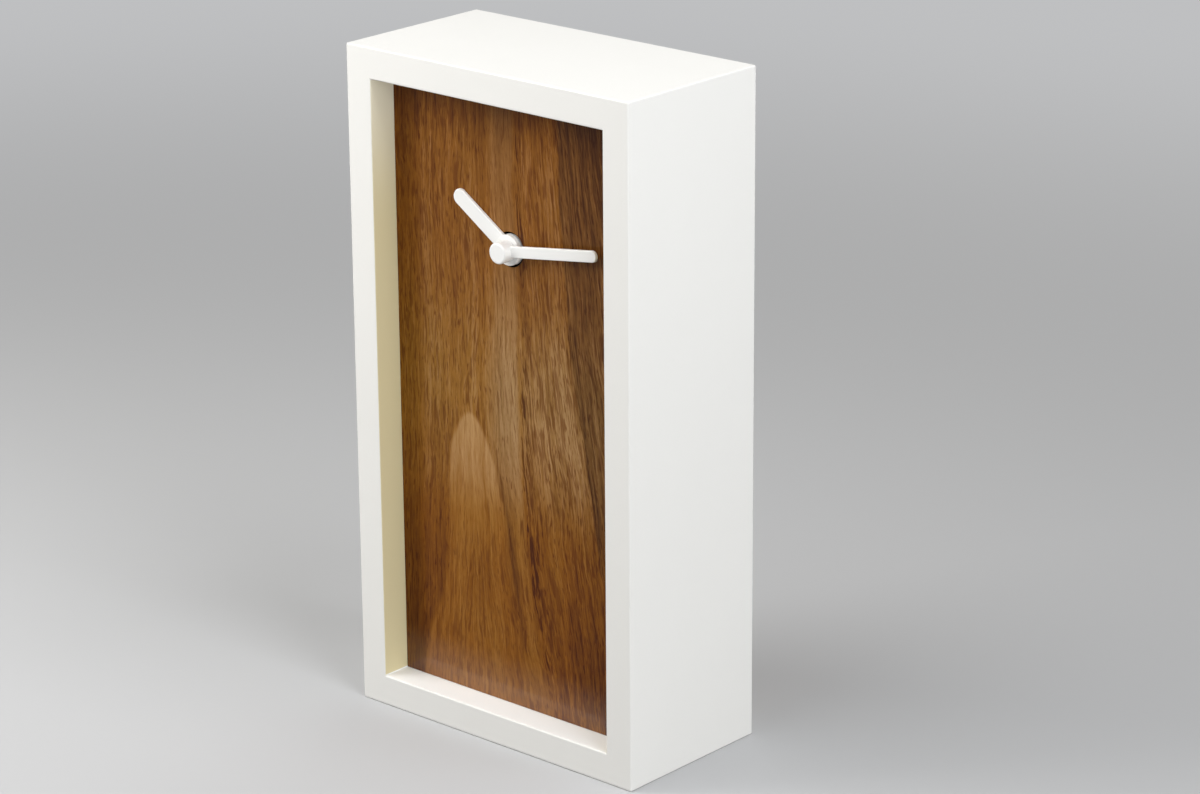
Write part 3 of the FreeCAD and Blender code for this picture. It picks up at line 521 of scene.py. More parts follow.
class WalnutFigure:
    """The dial's figure: a pale arch low down, streaks past the hub, dark heartwood at the right, with
    painted shade and a painted sheen laid over it.

    Each part of it is a share from nought to one, by place. Lengths are in millimetres: x from
    the case's middle, y back from the dial's face, z up from the floor.
    """

    def __init__(self, graph, settings):
        self.graph = graph
        self.settings = settings
        self.x, self.y, self.z = graph.split(graph.place((0, DIAL_LOW.y, 0)))
        self.hub = AXIS.z / MM
        self.bend_lines()
        self.find_heights()
        self.find_arch()
        self.find_streaks()
        self.find_heartwood()
        self.find_edges()
        self.lay_grain()

    def bend_lines(self):
        """Lets what would be upright waver slowly and ripple faintly."""
        x, y, z = self.x, self.y, self.z
        self.waver = self.graph.sway(self.graph.join(x * 0.03, y * 0.03, z * 0.016))
        self.ripple = self.graph.sway(self.graph.join(x * 0.22, y * 0.22, z * 0.07))
        self.bent = x + self.waver * 1.3 + self.ripple * 0.35

    def find_heights(self):
        """The lower part, a painted sheen that leaves the wood paler and greyer half way up, and what is
        above the hub.
        """
        self.low_part = self.graph.ease(self.z, 105.0, 15.0)
        self.painted_sheen = self.graph.bump_at(self.z, 132.0, 120.0)
        self.above_hub = self.graph.ease(self.z, self.hub - 5.0, self.hub + 22.0)

    def find_arch(self):
        """The pale arch, the dark line at its right, and the growth rings round it."""
        graph, z = self.graph, self.z
        middle, spread, tip = -20.0, 6.4, self.settings.arch_tip / MM
        half_ring = 3.1
        # its left side is drawn in half way up
        pinch = 1.0 + graph.ease(self.bent, middle, middle - 4.0) * graph.bump_at(z, 68.0, 84.0) * 0.55
        aside = (self.bent - middle) * pinch
        # the distance from the arch's outline, a parabola, which is negative inside it
        steepness = graph.math("SQRT", aside * aside * 4.0 + spread ** 2)
        rim = (aside * aside + (z - tip) * spread) / steepness
        self.arch = graph.ease(rim, 1.0, -1.3)
        self.arch_light = self.arch * graph.ease(z, 58.0, 116.0, 0.22, 1.0)
        right_of_arch = graph.ease(self.x, -15.0, -6.0)
        self.rim_line = graph.bump_at(rim, 1.5, 3.2) * right_of_arch * graph.bump_at(z, 60.0, 96.0)
        rings = graph.math("PINGPONG", rim + self.ripple * 0.5, half_ring)
        self.rings = graph.bump_at(rings, half_ring, 3.4) * self.low_part

    def find_streaks(self):
        """The greyish streak past the hub, and the dark seam and the knotty place beside it."""
        graph, z = self.graph, self.z
        # the streaks bend to the right below this height
        bend_from = 104.0
        bend = (graph.most(bend_from - z, 0.0) / 80.0) ** 1.3 * 12.5
        spine = self.bent + self.above_hub * 1.3 - bend
        grey = graph.ease(spine, -9.5 - self.painted_sheen * 5.0, -4.0) * graph.ease(spine, 5.2, 3.0)
        self.grey = grey * graph.ease(z, 40.0, 95.0, 0.3, 1.0)
        seam = graph.bump_at(spine, 6.4, 7.0) * (1.0 - self.above_hub * 0.15)
        self.seam = seam * graph.ease(z, 16.0, 50.0, 0.5, 1.0)
        self.knotty = graph.bump_at(spine, 7.5, 15.0) * graph.bump_at(z, 72.0, 56.0)
        self.spine = spine

    def find_heartwood(self):
        """The dark column at the right, its outline, the stripe beside it and the wood up to it."""
        graph = self.graph
        # its outline leans to the right as it comes down from the top
        top_x, top_z, fall, lean = 24.0, 243.0, 167.0, 20.0
        outline = top_x + (graph.most(top_z - self.z, 0.0) / fall) ** 1.6 * lean
        past = self.bent + self.ripple * 0.5 - outline
        self.heart = graph.ease(past, -0.5, 0.7)
        self.heart_line = graph.bump_at(past, 0.8, 3.0) * (1.0 - self.above_hub)
        self.stripe = graph.bump_at(past, -4.5, 10.0)
        self.beyond = graph.ease(self.spine, 4.6, 8.0) * (1.0 - self.heart)

    def find_edges(self):
        """Where the panel darkens: its lower corners, a painted shadow under the top board and painted
        shade along the left edge.
        """
        graph, x, z, top = self.graph, self.x, self.z, DIAL_HIGH.z / MM
        self.corner = graph.ease(x, -24.0, -48.0) * graph.ease(z, 105.0, 60.0) * (1.0 - self.arch)
        foot = graph.ease(self.spine, 8.0, 20.0) * graph.ease(z, 78.0, 40.0)
        self.foot = foot * graph.ease(z, 12.0, 28.0)
        # painted shadow of the top board along the panel's top
        self.band = graph.ease(z + self.waver * 1.2, top - 24.0, top - 3.0)
        # painted shade along the left edge, beside the case's side wall
        self.painted_left_shade = graph.ease(x, -36.0, -55.0)

    def lay_grain(self):
        """Three layers of streaks, fibres and pores: middling, fine and bold."""
        graph, x, y, z = self.graph, self.x, self.y, self.z
        # the grain leans on the right half, and opens out round the arch
        lean = graph.ease(x, -18.0, 30.0) * 0.13
        aside = x + 19.0
        opening = graph.ease(abs(aside), 55.0, 8.0) * graph.math("SIGN", aside) * self.low_part
        across = self.bent + lean * (z - 140.0) - opening * 5.0
        # pores are closer together where the wood is dark, and fewer in the pale parts
        patches = graph.noise(graph.join(across * 0.10, y, z * 0.022), detail=2)
        crowd = graph.ease(x, -14.0, -24.0) * graph.ease(z, 130.0, 170.0) * 0.5 + self.beyond * 0.7
        crowd = crowd + (patches - 0.5) * 2.2 + self.knotty * 0.8 + self.seam * 0.5
        crowd = crowd + self.heart * 0.4 - self.grey * 0.8 - self.arch_light * 0.7
        sparse = 0.575 - crowd * 0.05

        def layer(offset, streak_width, streak_length, pore_widths, pore_lengths, threshold):
            """A layer of its own, drawn some way off in depth from the others."""
            return graph.group(
                "Wood Grain", across=across, depth=y + offset, along=z,
                streak_width=streak_width, streak_length=streak_length,
                pore_width=self.settings.pore_width / MM * pore_widths,
                pore_length=self.settings.pore_length / MM * pore_lengths,
                pore_threshold=threshold,
            )

        self.grain = layer(0.0, 1.5, 42.0, 1.0, 1.0, sparse)
        self.fine = layer(31.0, 6.5, 170.0, 0.55, 0.6, 0.55)
        self.bold = layer(67.0, 0.9, 26.0, 1.7, 1.9, sparse - 0.015)

    def tone(self):
        """How light the wood is, from the dark through the mid to the light colour."""
        grain, fine, bold = self.grain, self.fine, self.bold
        painted_sheen, heart, beyond, above_hub = self.painted_sheen, self.heart, self.beyond, self.above_hub
        tone = 0.45 + (fine("Streaks") - 0.5) * 0.22 + (grain("Streaks") - 0.5) * 0.20
        tone = tone + (grain("Fibres") - 0.5) * 0.22 + (fine("Fibres") - 0.5) * 0.18
        tone = tone + (bold("Streaks") - 0.5) * (0.10 + heart * 0.42 + beyond * 0.20)
        tone = tone + self.arch_light * 0.36 + self.grey * (0.05 + painted_sheen * 0.06)
        tone = tone + self.stripe * (0.10 + painted_sheen * 0.05) + beyond * painted_sheen * 0.07
        # the left edge is darkened as painted shade, more so half way up
        tone = tone - self.painted_left_shade * (0.07 + painted_sheen * 0.06) - self.rings * 0.06 - self.rim_line * 0.30
        # the band at the top is a painted shadow under the top board; the corners and the foot are only
        # darker
        tone = tone - self.corner * 0.23 - self.band * 0.27 - self.foot * 0.24
        heart_low = self.graph.bump_at(self.z, 98.0, 56.0)
        tone = tone - heart * (0.10 + heart_low * 0.14 + above_hub * 0.06) - above_hub * 0.03
        tone = tone - self.heart_line * (0.06 + bold("Pores") * 0.2)
        tone = tone - self.seam * (0.05 + bold("Pores") * 0.40)
        return tone - self.knotty * (0.08 + bold("Pores") * 0.34)

    def colour(self, tone):
        """The wood's colour before its pores are drawn."""
        graph, settings = self.graph, self.settings
        warm, painted_sheen_tint, red = (1.12, 0.96, 0.70, 1), (1.15, 1.35, 1.62, 1), (0.93, 0.84, 0.42, 1)
        wood = graph.ramp(graph.clamped(tone), [
            (0.0, rgba(settings.dark)), (0.45, rgba(settings.mid)), (1.0, rgba(settings.light)),
        ])
        drift = graph.sway(graph.join(self.x * 0.06, self.y, self.z * 0.011))
        wood = graph.tinted(graph.clamped(drift * 0.5 + 0.5) * 0.4, wood, warm)
        shade = graph.even(graph.ease(tone, 0.0, 1.0, 0.45, 1.6))
        # greyer in the grey streak, and beyond it within the painted sheen
        greyish = graph.most(self.grey * (0.26 + self.painted_sheen * 0.12), self.beyond * self.painted_sheen * 0.22)
        wood = graph.mix(greyish, wood, graph.times(rgba(settings.grey), shade))
        wood = graph.mix(self.heart * 0.5, wood, graph.times(rgba(settings.heart), shade))
        # painted sheen: a cool pale tint over the middle stretch of the panel
        wood = graph.tinted(self.painted_sheen, wood, painted_sheen_tint)
        # redder low down, and along the left edge as part of its painted shade
        return graph.tinted(graph.most(graph.ease(self.z, 106.0, 80.0), self.painted_left_shade), wood, red)

    def pores(self):
        pores = self.graph.most(self.grain("Pores"), self.bold("Pores") * 0.8, self.fine("Pores") * 0.45)
        return pores * (1.0 - self.arch_light * 0.65)


def walnut(settings):
    """Satin-lacquered walnut, bare at the back, and painted black as shade in the sink round the hands'
    axis.
    """
    material, graph, shader = new_material(
        "walnut", specular_ior_level=0.07, coat_weight=0.3, coat_roughness=0.14, coat_ior=1.5
    )
    figure = WalnutFigure(graph, settings)
    pores, fibres = figure.pores(), figure.grain("Fibres")
    wood = graph.tinted(pores * 0.8, figure.colour(figure.tone()), rgba(settings.pore))

    unfinished, black = (0.42, 0.31, 0.21, 1), (0.006, 0.005, 0.005, 1)
    back = graph.ease(figure.y, 4.0, 5.5)
    beside, above = figure.x - AXIS.x / MM, figure.z - figure.hub
    from_axis = graph.math("SQRT", beside * beside + above * above)
    # painted shade: the sink round the hands' axis is painted black for the deep shade there
    painted_hole_shade = graph.ease(from_axis, 6.95, 6.72) * graph.ease(figure.y, 0.03, 0.12)
    tint = graph.mix(painted_hole_shade, graph.mix(back * 0.35, wood, unfinished), black)
    rough = 0.42 + pores * 0.2 + (fibres - 0.5) * 0.1 + back * 0.25
    dress(graph, shader, tint, rough, 1.0 - pores * 0.8 + (fibres - 0.5) * 0.3, 0.02 * MM)
    # the lacquer lies thickest at the foot
    lacquer = 0.15 + graph.ease(figure.z, 33.0, 18.0) * 0.85
    graph.give(shader, coat_weight=lacquer * (1.0 - back) * (1.0 - painted_hole_shade))
    return material


def pale_wood(settings):
    """Planed softwood, unfinished."""
    material, graph, shader = new_material("planed pale wood", specular_ior_level=0.3)
    x, y, z = graph.split(graph.place())
    grain = graph.group("Wood Grain", across=x + z * 0.01, depth=y, along=z, streak_width=1.5,
                        streak_length=120.0, pore_width=0.3, pore_length=6.0, pore_threshold=0.6)
    red, green, blue = settings.batten
    dark = (red * 0.62, green * 0.52, blue * 0.42, 1)
    tone = 0.25 + grain("Streaks") * 0.55 + grain("Fibres") * 0.2
    wood = graph.mix(tone, dark, rgba(settings.batten))
    wood = graph.mix(grain("Pores") * 0.3, wood, dark)
    rough = 0.66 + (grain("Fibres") - 0.5) * 0.2
    dress(graph, shader, wood, rough, grain("Fibres") - grain("Pores") * 0.4, 0.05 * MM)
    return material


def plastic(name, colour, roughness, pit, depth, contrast=0.03, **constants):
    """Moulded plastic or rubber with a fine skin."""
    material, graph, shader = new_material(name, **constants)
    place = graph.place()
    skin = graph.group("Moulded Skin", place=place, pit_size=pit, roughness=roughness)
    mottle = graph.group("Fine Mottle", place=place, colour=rgba(colour), size=pit * 2.5, contrast=contrast)
    dress(graph, shader, mottle("Colour"), graph.clamped(skin("Roughness")), skin("Height"), depth)
    return material


METALS = {
    # name: its colour, the colour where it is tarnished, roughness, length of its fine lines
    "blackened metal": ((0.035, 0.034, 0.034), (0.012, 0.012, 0.012), 0.45, 6.0),
    "brass": ((0.80, 0.56, 0.22), (0.46, 0.28, 0.10), 0.26, 6.0),
    "plated steel": ((0.66, 0.66, 0.65), (0.42, 0.41, 0.40), 0.24, 6.0),
    "spring steel": ((0.58, 0.58, 0.60), (0.36, 0.35, 0.36), 0.2, 12.0),
    "soft iron": ((0.50, 0.49, 0.47), (0.33, 0.31, 0.28), 0.38, 6.0),
    "magnet": ((0.24, 0.24, 0.25), (0.14, 0.14, 0.15), 0.42, 6.0),
    "crystal can": ((0.70, 0.70, 0.69), (0.50, 0.49, 0.47), 0.18, 6.0),
    "tinned steel": ((0.68, 0.68, 0.67), (0.48, 0.47, 0.45), 0.22, 6.0),
}


def metal(name):
    """Bare or plated metal with the lines of its making."""
    colour, tarnish, roughness, length = METALS[name]
    material, graph, shader = new_material(name, metallic=1.0)
    lines = graph.group("Drawn Lines", place=graph.place(), line_length=length, roughness=roughness)
    tint = graph.mix(lines("Tarnish") * 0.6, rgba(colour), rgba(tarnish))
    dress(graph, shader, tint, graph.clamped(lines("Roughness")), lines("Height"), 0.006 * MM)
    return material


def circuit_lacquer():
    """Green lacquer over etched tracks, with tinned pads."""
    material, graph, shader = new_material("circuit board")
    lacquer, lacquer_on_track = (0.012, 0.105, 0.045, 1), (0.022, 0.19, 0.075, 1)
    tin, pad_radius, pitch = (0.62, 0.63, 0.62, 1), 0.5, 1.27
    x, y, z = graph.split(graph.place(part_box("circuit_board")[0]))
    brick = graph.add("ShaderNodeTexBrick", {
        "Vector": graph.join(x / pitch, z / pitch, 0.0),
        "Scale": 1.0,
        "Mortar Size": 0.13,
        "Mortar Smooth": 0.4,
        "Brick Width": 2.6,
        "Row Height": 1.0,
    })
    tracks = graph.out(brick, "Fac")
    spot = graph.join(graph.math("PINGPONG", x, pitch * 1.5), 0.0, graph.math("PINGPONG", z, pitch * 2.0))
    pads = graph.ease(graph.length(spot), pad_radius + 0.12, pad_radius)
    tint = graph.mix(pads, graph.mix(tracks, lacquer, lacquer_on_track), tin)
    graph.give(shader, metallic=pads)
    dress(graph, shader, tint, 0.34 + pads * 0.06 - tracks * 0.05, tracks * 0.6 + pads, 0.03 * MM)
    return material


def copper_wire():
    """Enamelled winding wire."""
    material, graph, shader = new_material(
        "enamelled copper", metallic=0.9, coat_weight=0.6, coat_roughness=0.15
    )
    deep, bright = (0.60, 0.20, 0.075, 1), (0.78, 0.32, 0.14, 1)
    patches = graph.noise(graph.place(), scale=1.3, detail=2)
    rough = 0.26 + (patches - 0.5) * 0.2
    dress(graph, shader, graph.mix(patches, deep, bright), rough, patches, 0.01 * MM)
    return material


def battery_print(settings):
    """A plain shrunk jacket: dark, with a pale band at the raised end, a plus and a minus."""
    material, graph, shader = new_material("battery jacket", coat_weight=0.5, coat_roughness=0.12)
    sheen, ink = (0.06, 0.11, 0.18, 1), (0.02, 0.03, 0.05, 1)
    low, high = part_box("battery_sleeve")
    x, y, z = graph.split(graph.place((low + high) / 2))
    half = (high.x - low.x) / 2 / MM
    band_edge = half - settings.band_width / MM
    plus_x, plus_size = half - 4.4, 4.0
    minus_x, minus_size = 5.0 - half, 3.6
    stroke = 0.9

    def bar(at, wide, tall):
        """A printed bar whose middle is at some x, half way up."""
        return (graph.ease(abs(x - at), wide / 2 + 0.05, wide / 2 - 0.05)
                * graph.ease(abs(z), tall / 2 + 0.05, tall / 2 - 0.05))

    band = graph.ease(x, band_edge - 0.08, band_edge + 0.08)
    line = graph.ease(graph.bump_at(x, band_edge - 1.7, 1.2), 0.3, 0.4)
    outside = graph.ease(y, 0.0, 0.5)
    plus = graph.most(bar(plus_x, plus_size, stroke), bar(plus_x, stroke, plus_size)) * outside
    minus = bar(minus_x, minus_size, stroke) * outside
    foil = graph.noise(graph.join(x * 0.4, y * 3.0, z * 3.0), detail=3)
    tint = graph.mix(foil * 0.35, rgba(settings.jacket), sheen)
    tint = graph.mix(graph.most(band, line), tint, rgba(settings.band))
    tint = graph.mix(minus, tint, rgba(settings.band))
    tint = graph.mix(plus, tint, ink)
    dress(graph, shader, tint, 0.34 + (foil - 0.5) * 0.15, foil, 0.02 * MM)
    return material


def glue():
    """Set white glue, squeezed out and left."""
    material, graph, shader = new_material("white glue", coat_weight=0.4, coat_roughness=0.2)
    creamy, pale = (0.70, 0.66, 0.54, 1), (0.80, 0.78, 0.70, 1)
    lumps = graph.noise(graph.place(), scale=0.5, detail=3)
    dress(graph, shader, graph.mix(lumps, creamy, pale), 0.36 + (lumps - 0.5) * 0.2, lumps, 0.15 * MM)
    return material


def paint(material, *nodes):
    """Gives CAD nodes a material in place of the packed one."""
    for name in nodes:
        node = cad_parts[name]
        if not node.material_slots:
            node.data.materials.append(material)
        for slot in node.material_slots:
            slot.material = material


# ------------------------------------------------------------------ pieces made here
def new_object(name, mesh, material):
    """An object at the origin, whose place is in its mesh."""
    made = bpy.data.objects.new(name, mesh)
    bpy.context.scene.collection.objects.link(made)
    mesh.materials.clear()
    mesh.materials.append(material)
    return made


def mesh_from(bm, name):
    mesh = bpy.data.meshes.new(name)
    bm.to_mesh(mesh)
    bm.free()
    return mesh


def settle(piece, body, replaces=()):
    """Says which body a finished piece rides on, and what it stands for."""
    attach(piece, body)
    if replaces:
        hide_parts(*replaces)


def smooth_by_angle(mesh, degrees=35.0):
    """Smooth faces with sharp edges where they meet at more than the angle."""
    bm = bmesh.new()
    bm.from_mesh(mesh)
    bmesh.ops.remove_doubles(bm, verts=bm.verts, dist=1e-7)
    bmesh.ops.recalc_face_normals(bm, faces=bm.faces)
    limit = math.radians(degrees)
    for face in bm.faces:
        face.smooth = True
    for edge in bm.edges:
        edge.smooth = len(edge.link_faces) == 2 and edge.calc_face_angle(0.0) < limit
    bm.to_mesh(mesh)
    bm.free()


def turned_mesh(name, profile, origin, direction, segments=96):
    """A closed solid of revolution. The profile is (distance along, radius) from pole to pole."""
    turn = Vector(direction).to_track_quat("Z", "Y").to_matrix()
    bm = bmesh.new()
    rows = []
    for along, radius in profile:
        if radius < 1e-9:
            rows.append([bm.verts.new(Vector(origin) + turn @ Vector((0, 0, along)))])
            continue
        row = []
        for k in range(segments):
            angle = 2 * math.pi * k / segments
            spot = Vector((radius * math.cos(angle), radius * math.sin(angle), along))
            row.append(bm.verts.new(Vector(origin) + turn @ spot))
        rows.append(row)
    for first, second in zip(rows, rows[1:]):
        for k in range(segments):
            k2 = (k + 1) % segments
            corners = [first[k % len(first)], first[k2 % len(first)],
                       second[k2 % len(second)], second[k % len(second)]]
            # a pole gives the same corner twice
            bm.faces.new(list(dict.fromkeys(corners)))
    mesh = mesh_from(bm, name)
    smooth_by_angle(mesh)
    return mesh


def rounded_profile(points, radius, steps=5):
    """(along, radius) points with every inner corner rounded."""
    out = [points[0]]
    for before, here, after in zip(points, points[1:], points[2:]):
        a, b, c = Vector(before), Vector(here), Vector(after)
        back, on = (a - b), (c - b)
        reach = min(radius, back.length * 0.45, on.length * 0.45)
        start, end = b + back.normalized() * reach, b + on.normalized() * reach
        for k in range(steps + 1):
            t = k / steps
            spot = (1 - t) ** 2 * start + 2 * t * (1 - t) * b + t ** 2 * end
            out.append((spot.x, spot.y))
    out.append(points[-1])
    return out


def grown(name, tree, inputs, material):
    """A plain mesh object grown by a geometry tree, with its inputs set by identifier."""
    seed = bpy.data.meshes.new(name)
    host = bpy.data.objects.new(name + " host", seed)
    bpy.context.scene.collection.objects.link(host)
    modifier = host.modifiers.new("grow", "NODES")
    modifier.node_group = tree
    values = dict(inputs, Material=material)
    for item in tree.interface.items_tree:
        if item.item_type == "SOCKET" and item.in_out == "INPUT" and item.name in values:
            modifier[item.identifier] = values[item.name]
    bpy.context.view_layer.update()
    graph = bpy.context.evaluated_depsgraph_get()
    mesh = bpy.data.meshes.new_from_object(host.evaluated_get(graph), depsgraph=graph)
    bpy.data.objects.remove(host)
    if not mesh.polygons:
        raise RuntimeError(f"the tree {tree.name} made no faces for {name}")
    mesh.name = name
    smooth_by_angle(mesh)
    return new_object(name, mesh, material)


def finish_tree(graph, end, geometry, material):
    """Ends a tree in Realize Instances and Set Material."""
    real = graph.out(graph.add("GeometryNodeRealizeInstances", {"Geometry": geometry}))
    dressed = graph.add("GeometryNodeSetMaterial", {"Geometry": real, "Material": material})
    graph.feed(end.inputs["Geometry"], graph.out(dressed))


def circle(graph, radius, resolution):
    node = graph.add("GeometryNodeCurvePrimitiveCircle", {"Resolution": resolution, "Radius": radius})
    return graph.out(node, "Curve")


def swept(graph, path, profile, scale=1.0):
    """A tube along a path, closed at its ends, whose profile is scaled on the way."""
    inputs = {"Curve": path, "Profile Curve": profile, "Scale": scale, "Fill Caps": True}
    return graph.out(graph.add("GeometryNodeCurveToMesh", inputs))


def moved(graph, geometry, place=(0, 0, 0), turn=(0, 0, 0), scale=(1, 1, 1)):
    inputs = {"Geometry": geometry, "Translation": place, "Rotation": turn, "Scale": scale}
    return graph.out(graph.add("GeometryNodeTransform", inputs))


def joined(graph, *geometries):
    node = graph.add("GeometryNodeJoinGeometry")
    for geometry in geometries:
        graph.tree.links.new(geometry.socket, node.inputs[0])
    return graph.out(node)


def winding_tree():
    """Turns of wire side by side on a round former that lies along X."""
    inputs = [
        ("Centre", "vector", (0, 0, 0)),
        ("Radius", "number", 2.4 * MM),
        ("Length", "number", 16 * MM),
        ("Wire", "number", 0.15 * MM),
        ("Material", "material", None),
    ]
    graph, given, end = new_tree("Coil Winding", "GeometryNodeTree", inputs, [("Geometry", "geometry")])
    line = given["Radius"] - given["Wire"] / 2
    span = given["Length"] - given["Wire"] * 1.2
    helix = graph.add("GeometryNodeCurveSpiral", {
        "Resolution": 30,
        "Rotations": span / given["Wire"],
        "Start Radius": line,
        "End Radius": line,
        "Height": span,
    })
    turns = swept(graph, graph.out(helix), circle(graph, given["Wire"] / 2, 6))
    turns = moved(graph, turns, graph.join(0, 0, span / -2))
    former = graph.add("GeometryNodeMeshCylinder", {
        "Vertices": 48,
        "Radius": line,
        "Depth": given["Length"],
    })
    whole = joined(graph, turns, graph.out(former, "Mesh"))
    whole = moved(graph, whole, given["Centre"], turn=(0, math.pi / 2, 0))
    finish_tree(graph, end, whole, given["Material"])
    return graph.tree


def rib_tree():
    """A row of low bars with rounded backs."""
    inputs = [
        ("Start", "vector", (0, 0, 0)),
        ("Count", "count", 10),
        ("Pitch", "number", 1.5 * MM),
        ("Length", "number", 6 * MM),
        ("Width", "number", 0.7 * MM),
        ("Height", "number", 0.3 * MM),
        ("Material", "material", None),
    ]
    graph, given, end = new_tree("Grip Ribs", "GeometryNodeTree", inputs, [("Geometry", "geometry")])
    tip = graph.join(0, 0, given["Length"])
    path = graph.add("GeometryNodeCurvePrimitiveLine", {"Start": (0, 0, 0), "End": tip})
    bar = swept(graph, graph.out(path), circle(graph, given["Width"] / 2, 16))
    squash = given["Height"] * 2.0 / given["Width"]
    bar = moved(graph, bar, scale=graph.join(1.0, squash, 1.0))
    row = graph.add("GeometryNodeMeshLine", {
        "Count": given["Count"],
        "Start Location": given["Start"],
        "Offset": graph.join(given["Pitch"], 0, 0),
    })
    set_out = graph.add("GeometryNodeInstanceOnPoints", {"Points": graph.out(row), "Instance": bar})
    finish_tree(graph, end, graph.out(set_out), given["Material"])
    return graph.tree


def arrow_tree():
    """Two raised arrows that run round a centre the same way, seen from behind."""
    inputs = [
        ("Centre", "vector", (0, 0, 0)),
        ("Radius", "number", 8 * MM),
        ("Sweep", "number", 2.0),
        ("Width", "number", 0.8 * MM),
        ("Height", "number", 0.3 * MM),
        ("Material", "material", None),
    ]
    graph, given, end = new_tree("Turn Arrows", "GeometryNodeTree", inputs, [("Geometry", "geometry")])
    arc = graph.add("GeometryNodeCurveArc", {
        "Resolution": 40,
        "Radius": given["Radius"],
        "Start Angle": 0.0,
        "Sweep Angle": given["Sweep"],
    })
    oval = moved(graph, circle(graph, 1.0, 14), scale=graph.join(given["Width"] / 2, given["Height"], 1.0))
    body = swept(graph, graph.out(arc), oval)
    head = graph.add("GeometryNodeMeshCone", {
        "Vertices": 24,
        "Radius Top": 0.0,
        "Radius Bottom": given["Width"] * 1.5,
        "Depth": given["Width"] * 3.2,
    })
    flat = given["Height"] / (given["Width"] * 1.5)
    # the cone's axis turns from Z to Y, along the arc at its start
    head = moved(graph, graph.out(head, "Mesh"), turn=(math.pi / 2, 0, 0))
    head = moved(graph, head, graph.join(given["Radius"], 0, 0), scale=graph.join(1.0, 1.0, flat))
    arrow = joined(graph, body, head)
    other = moved(graph, arrow, turn=(0, 0, math.pi))
    # the ring's plane turns from XY to the cover's XZ
    whole = moved(graph, joined(graph, arrow, other), given["Centre"], turn=(math.pi / 2, 0, 0))
    finish_tree(graph, end, whole, given["Material"])
    return graph.tree


def bead_tree():
    """A bead of glue along a straight joint, a little uneven."""
    inputs = [
        ("Start", "vector", (0, 0, 0)),
        ("End", "vector", (0, 0, 1)),
        ("Width", "number", 1.6 * MM),
        ("Seed", "number", 7.0),
        ("Material", "material", None),
    ]
    graph, given, end = new_tree("Glue Bead", "GeometryNodeTree", inputs, [("Geometry", "geometry")])
    path = graph.add("GeometryNodeCurvePrimitiveLine", {"Start": given["Start"], "End": given["End"]})
    fine = graph.add("GeometryNodeResampleCurve", {"Curve": graph.out(path), "Count": 150})
    spot = graph.out(graph.add("GeometryNodeInputPosition"))
    inputs = {"Vector": spot, "W": given["Seed"], "Scale": 95.0, "Detail": 2.0}
    swell = graph.add("ShaderNodeTexNoise", inputs, noise_dimensions="4D")
    along = graph.out(graph.add("GeometryNodeSplineParameter"), "Factor")
    ends = graph.ease(along * (1.0 - along), 0.0, 0.012, 0.05, 1.0)
    radius = (graph.out(swell, "Fac") * 1.3 + 0.35) * given["Width"] / 2 * ends
    bead = swept(graph, graph.out(fine), circle(graph, 1.0, 12), scale=radius)
    finish_tree(graph, end, bead, given["Material"])
    return graph.tree


def raised_bar(bm, centre, size, rounding):
    """A flat bar on the cover's back face, with rounded edges."""
    made = bmesh.ops.create_cube(bm, size=1.0)["verts"]
    bmesh.ops.scale(bm, vec=Vector(size), verts=made)
    bmesh.ops.translate(bm, vec=Vector(centre), verts=made)
    edges = list({edge for vert in made for edge in vert.link_edges})
    bmesh.ops.bevel(bm, geom=edges, offset=rounding, segments=3, affect="EDGES", profile=0.5)


def lay_glue(settings):
    """Beads of glue behind the dial, along both battens, the top and the foot."""
    tree, material, back = bead_tree(), glue(), DIAL_HIGH.y
    short_of_batten, short_of_side = 2 * MM, 3 * MM

    def lay(side, start, end, seed):
        inputs = {"Start": start, "End": end, "Width": settings.glue_width, "Seed": seed}
        settle(grown("glue_bead_" + side, tree, inputs, material), "case")

    for side in ("left", "right"):
        low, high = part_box("dial_batten_" + side)
        x = high.x if side == "left" else low.x
        lay(side, (x, back, low.z + short_of_batten), (x, back, high.z - short_of_batten), x / MM)
    for side, z in (("top", DIAL_HIGH.z), ("bottom", DIAL_LOW.z)):
        start = (DIAL_LOW.x + short_of_side, back, z)
        lay(side, start, (DIAL_HIGH.x - short_of_side, back, z), z / MM)


def add_turn_arrows(settings, material):
    """Arrows moulded round the knob, which show that it turns."""
    knob = middle("setting_knob")
    inputs = {
        "Centre": (knob.x, COVER_HIGH.y, knob.z),
        "Radius": 8.4 * MM,
        "Sweep": math.radians(125),
        "Width": 0.8 * MM,
        "Height": settings.relief,
    }
    settle(grown("turn_arrows", arrow_tree(), inputs, material), "case")


def add_cover_ribs(settings, material):
    """Grip ribs moulded on the cover near its upper corner."""
    length, from_side, from_top = 7 * MM, 6 * MM, 4.5 * MM
    span = (settings.ribs - 1) * settings.rib_pitch
    inputs = {
        "Start": (COVER_HIGH.x - from_side - span, COVER_HIGH.y, COVER_HIGH.z - from_top - length),
        "Count": settings.ribs,
        "Pitch": settings.rib_pitch,
        "Length": length,
        "Width": 0.8 * MM,
        "Height": settings.relief,
    }
    settle(grown("cover_ribs", rib_tree(), inputs, material), "case")


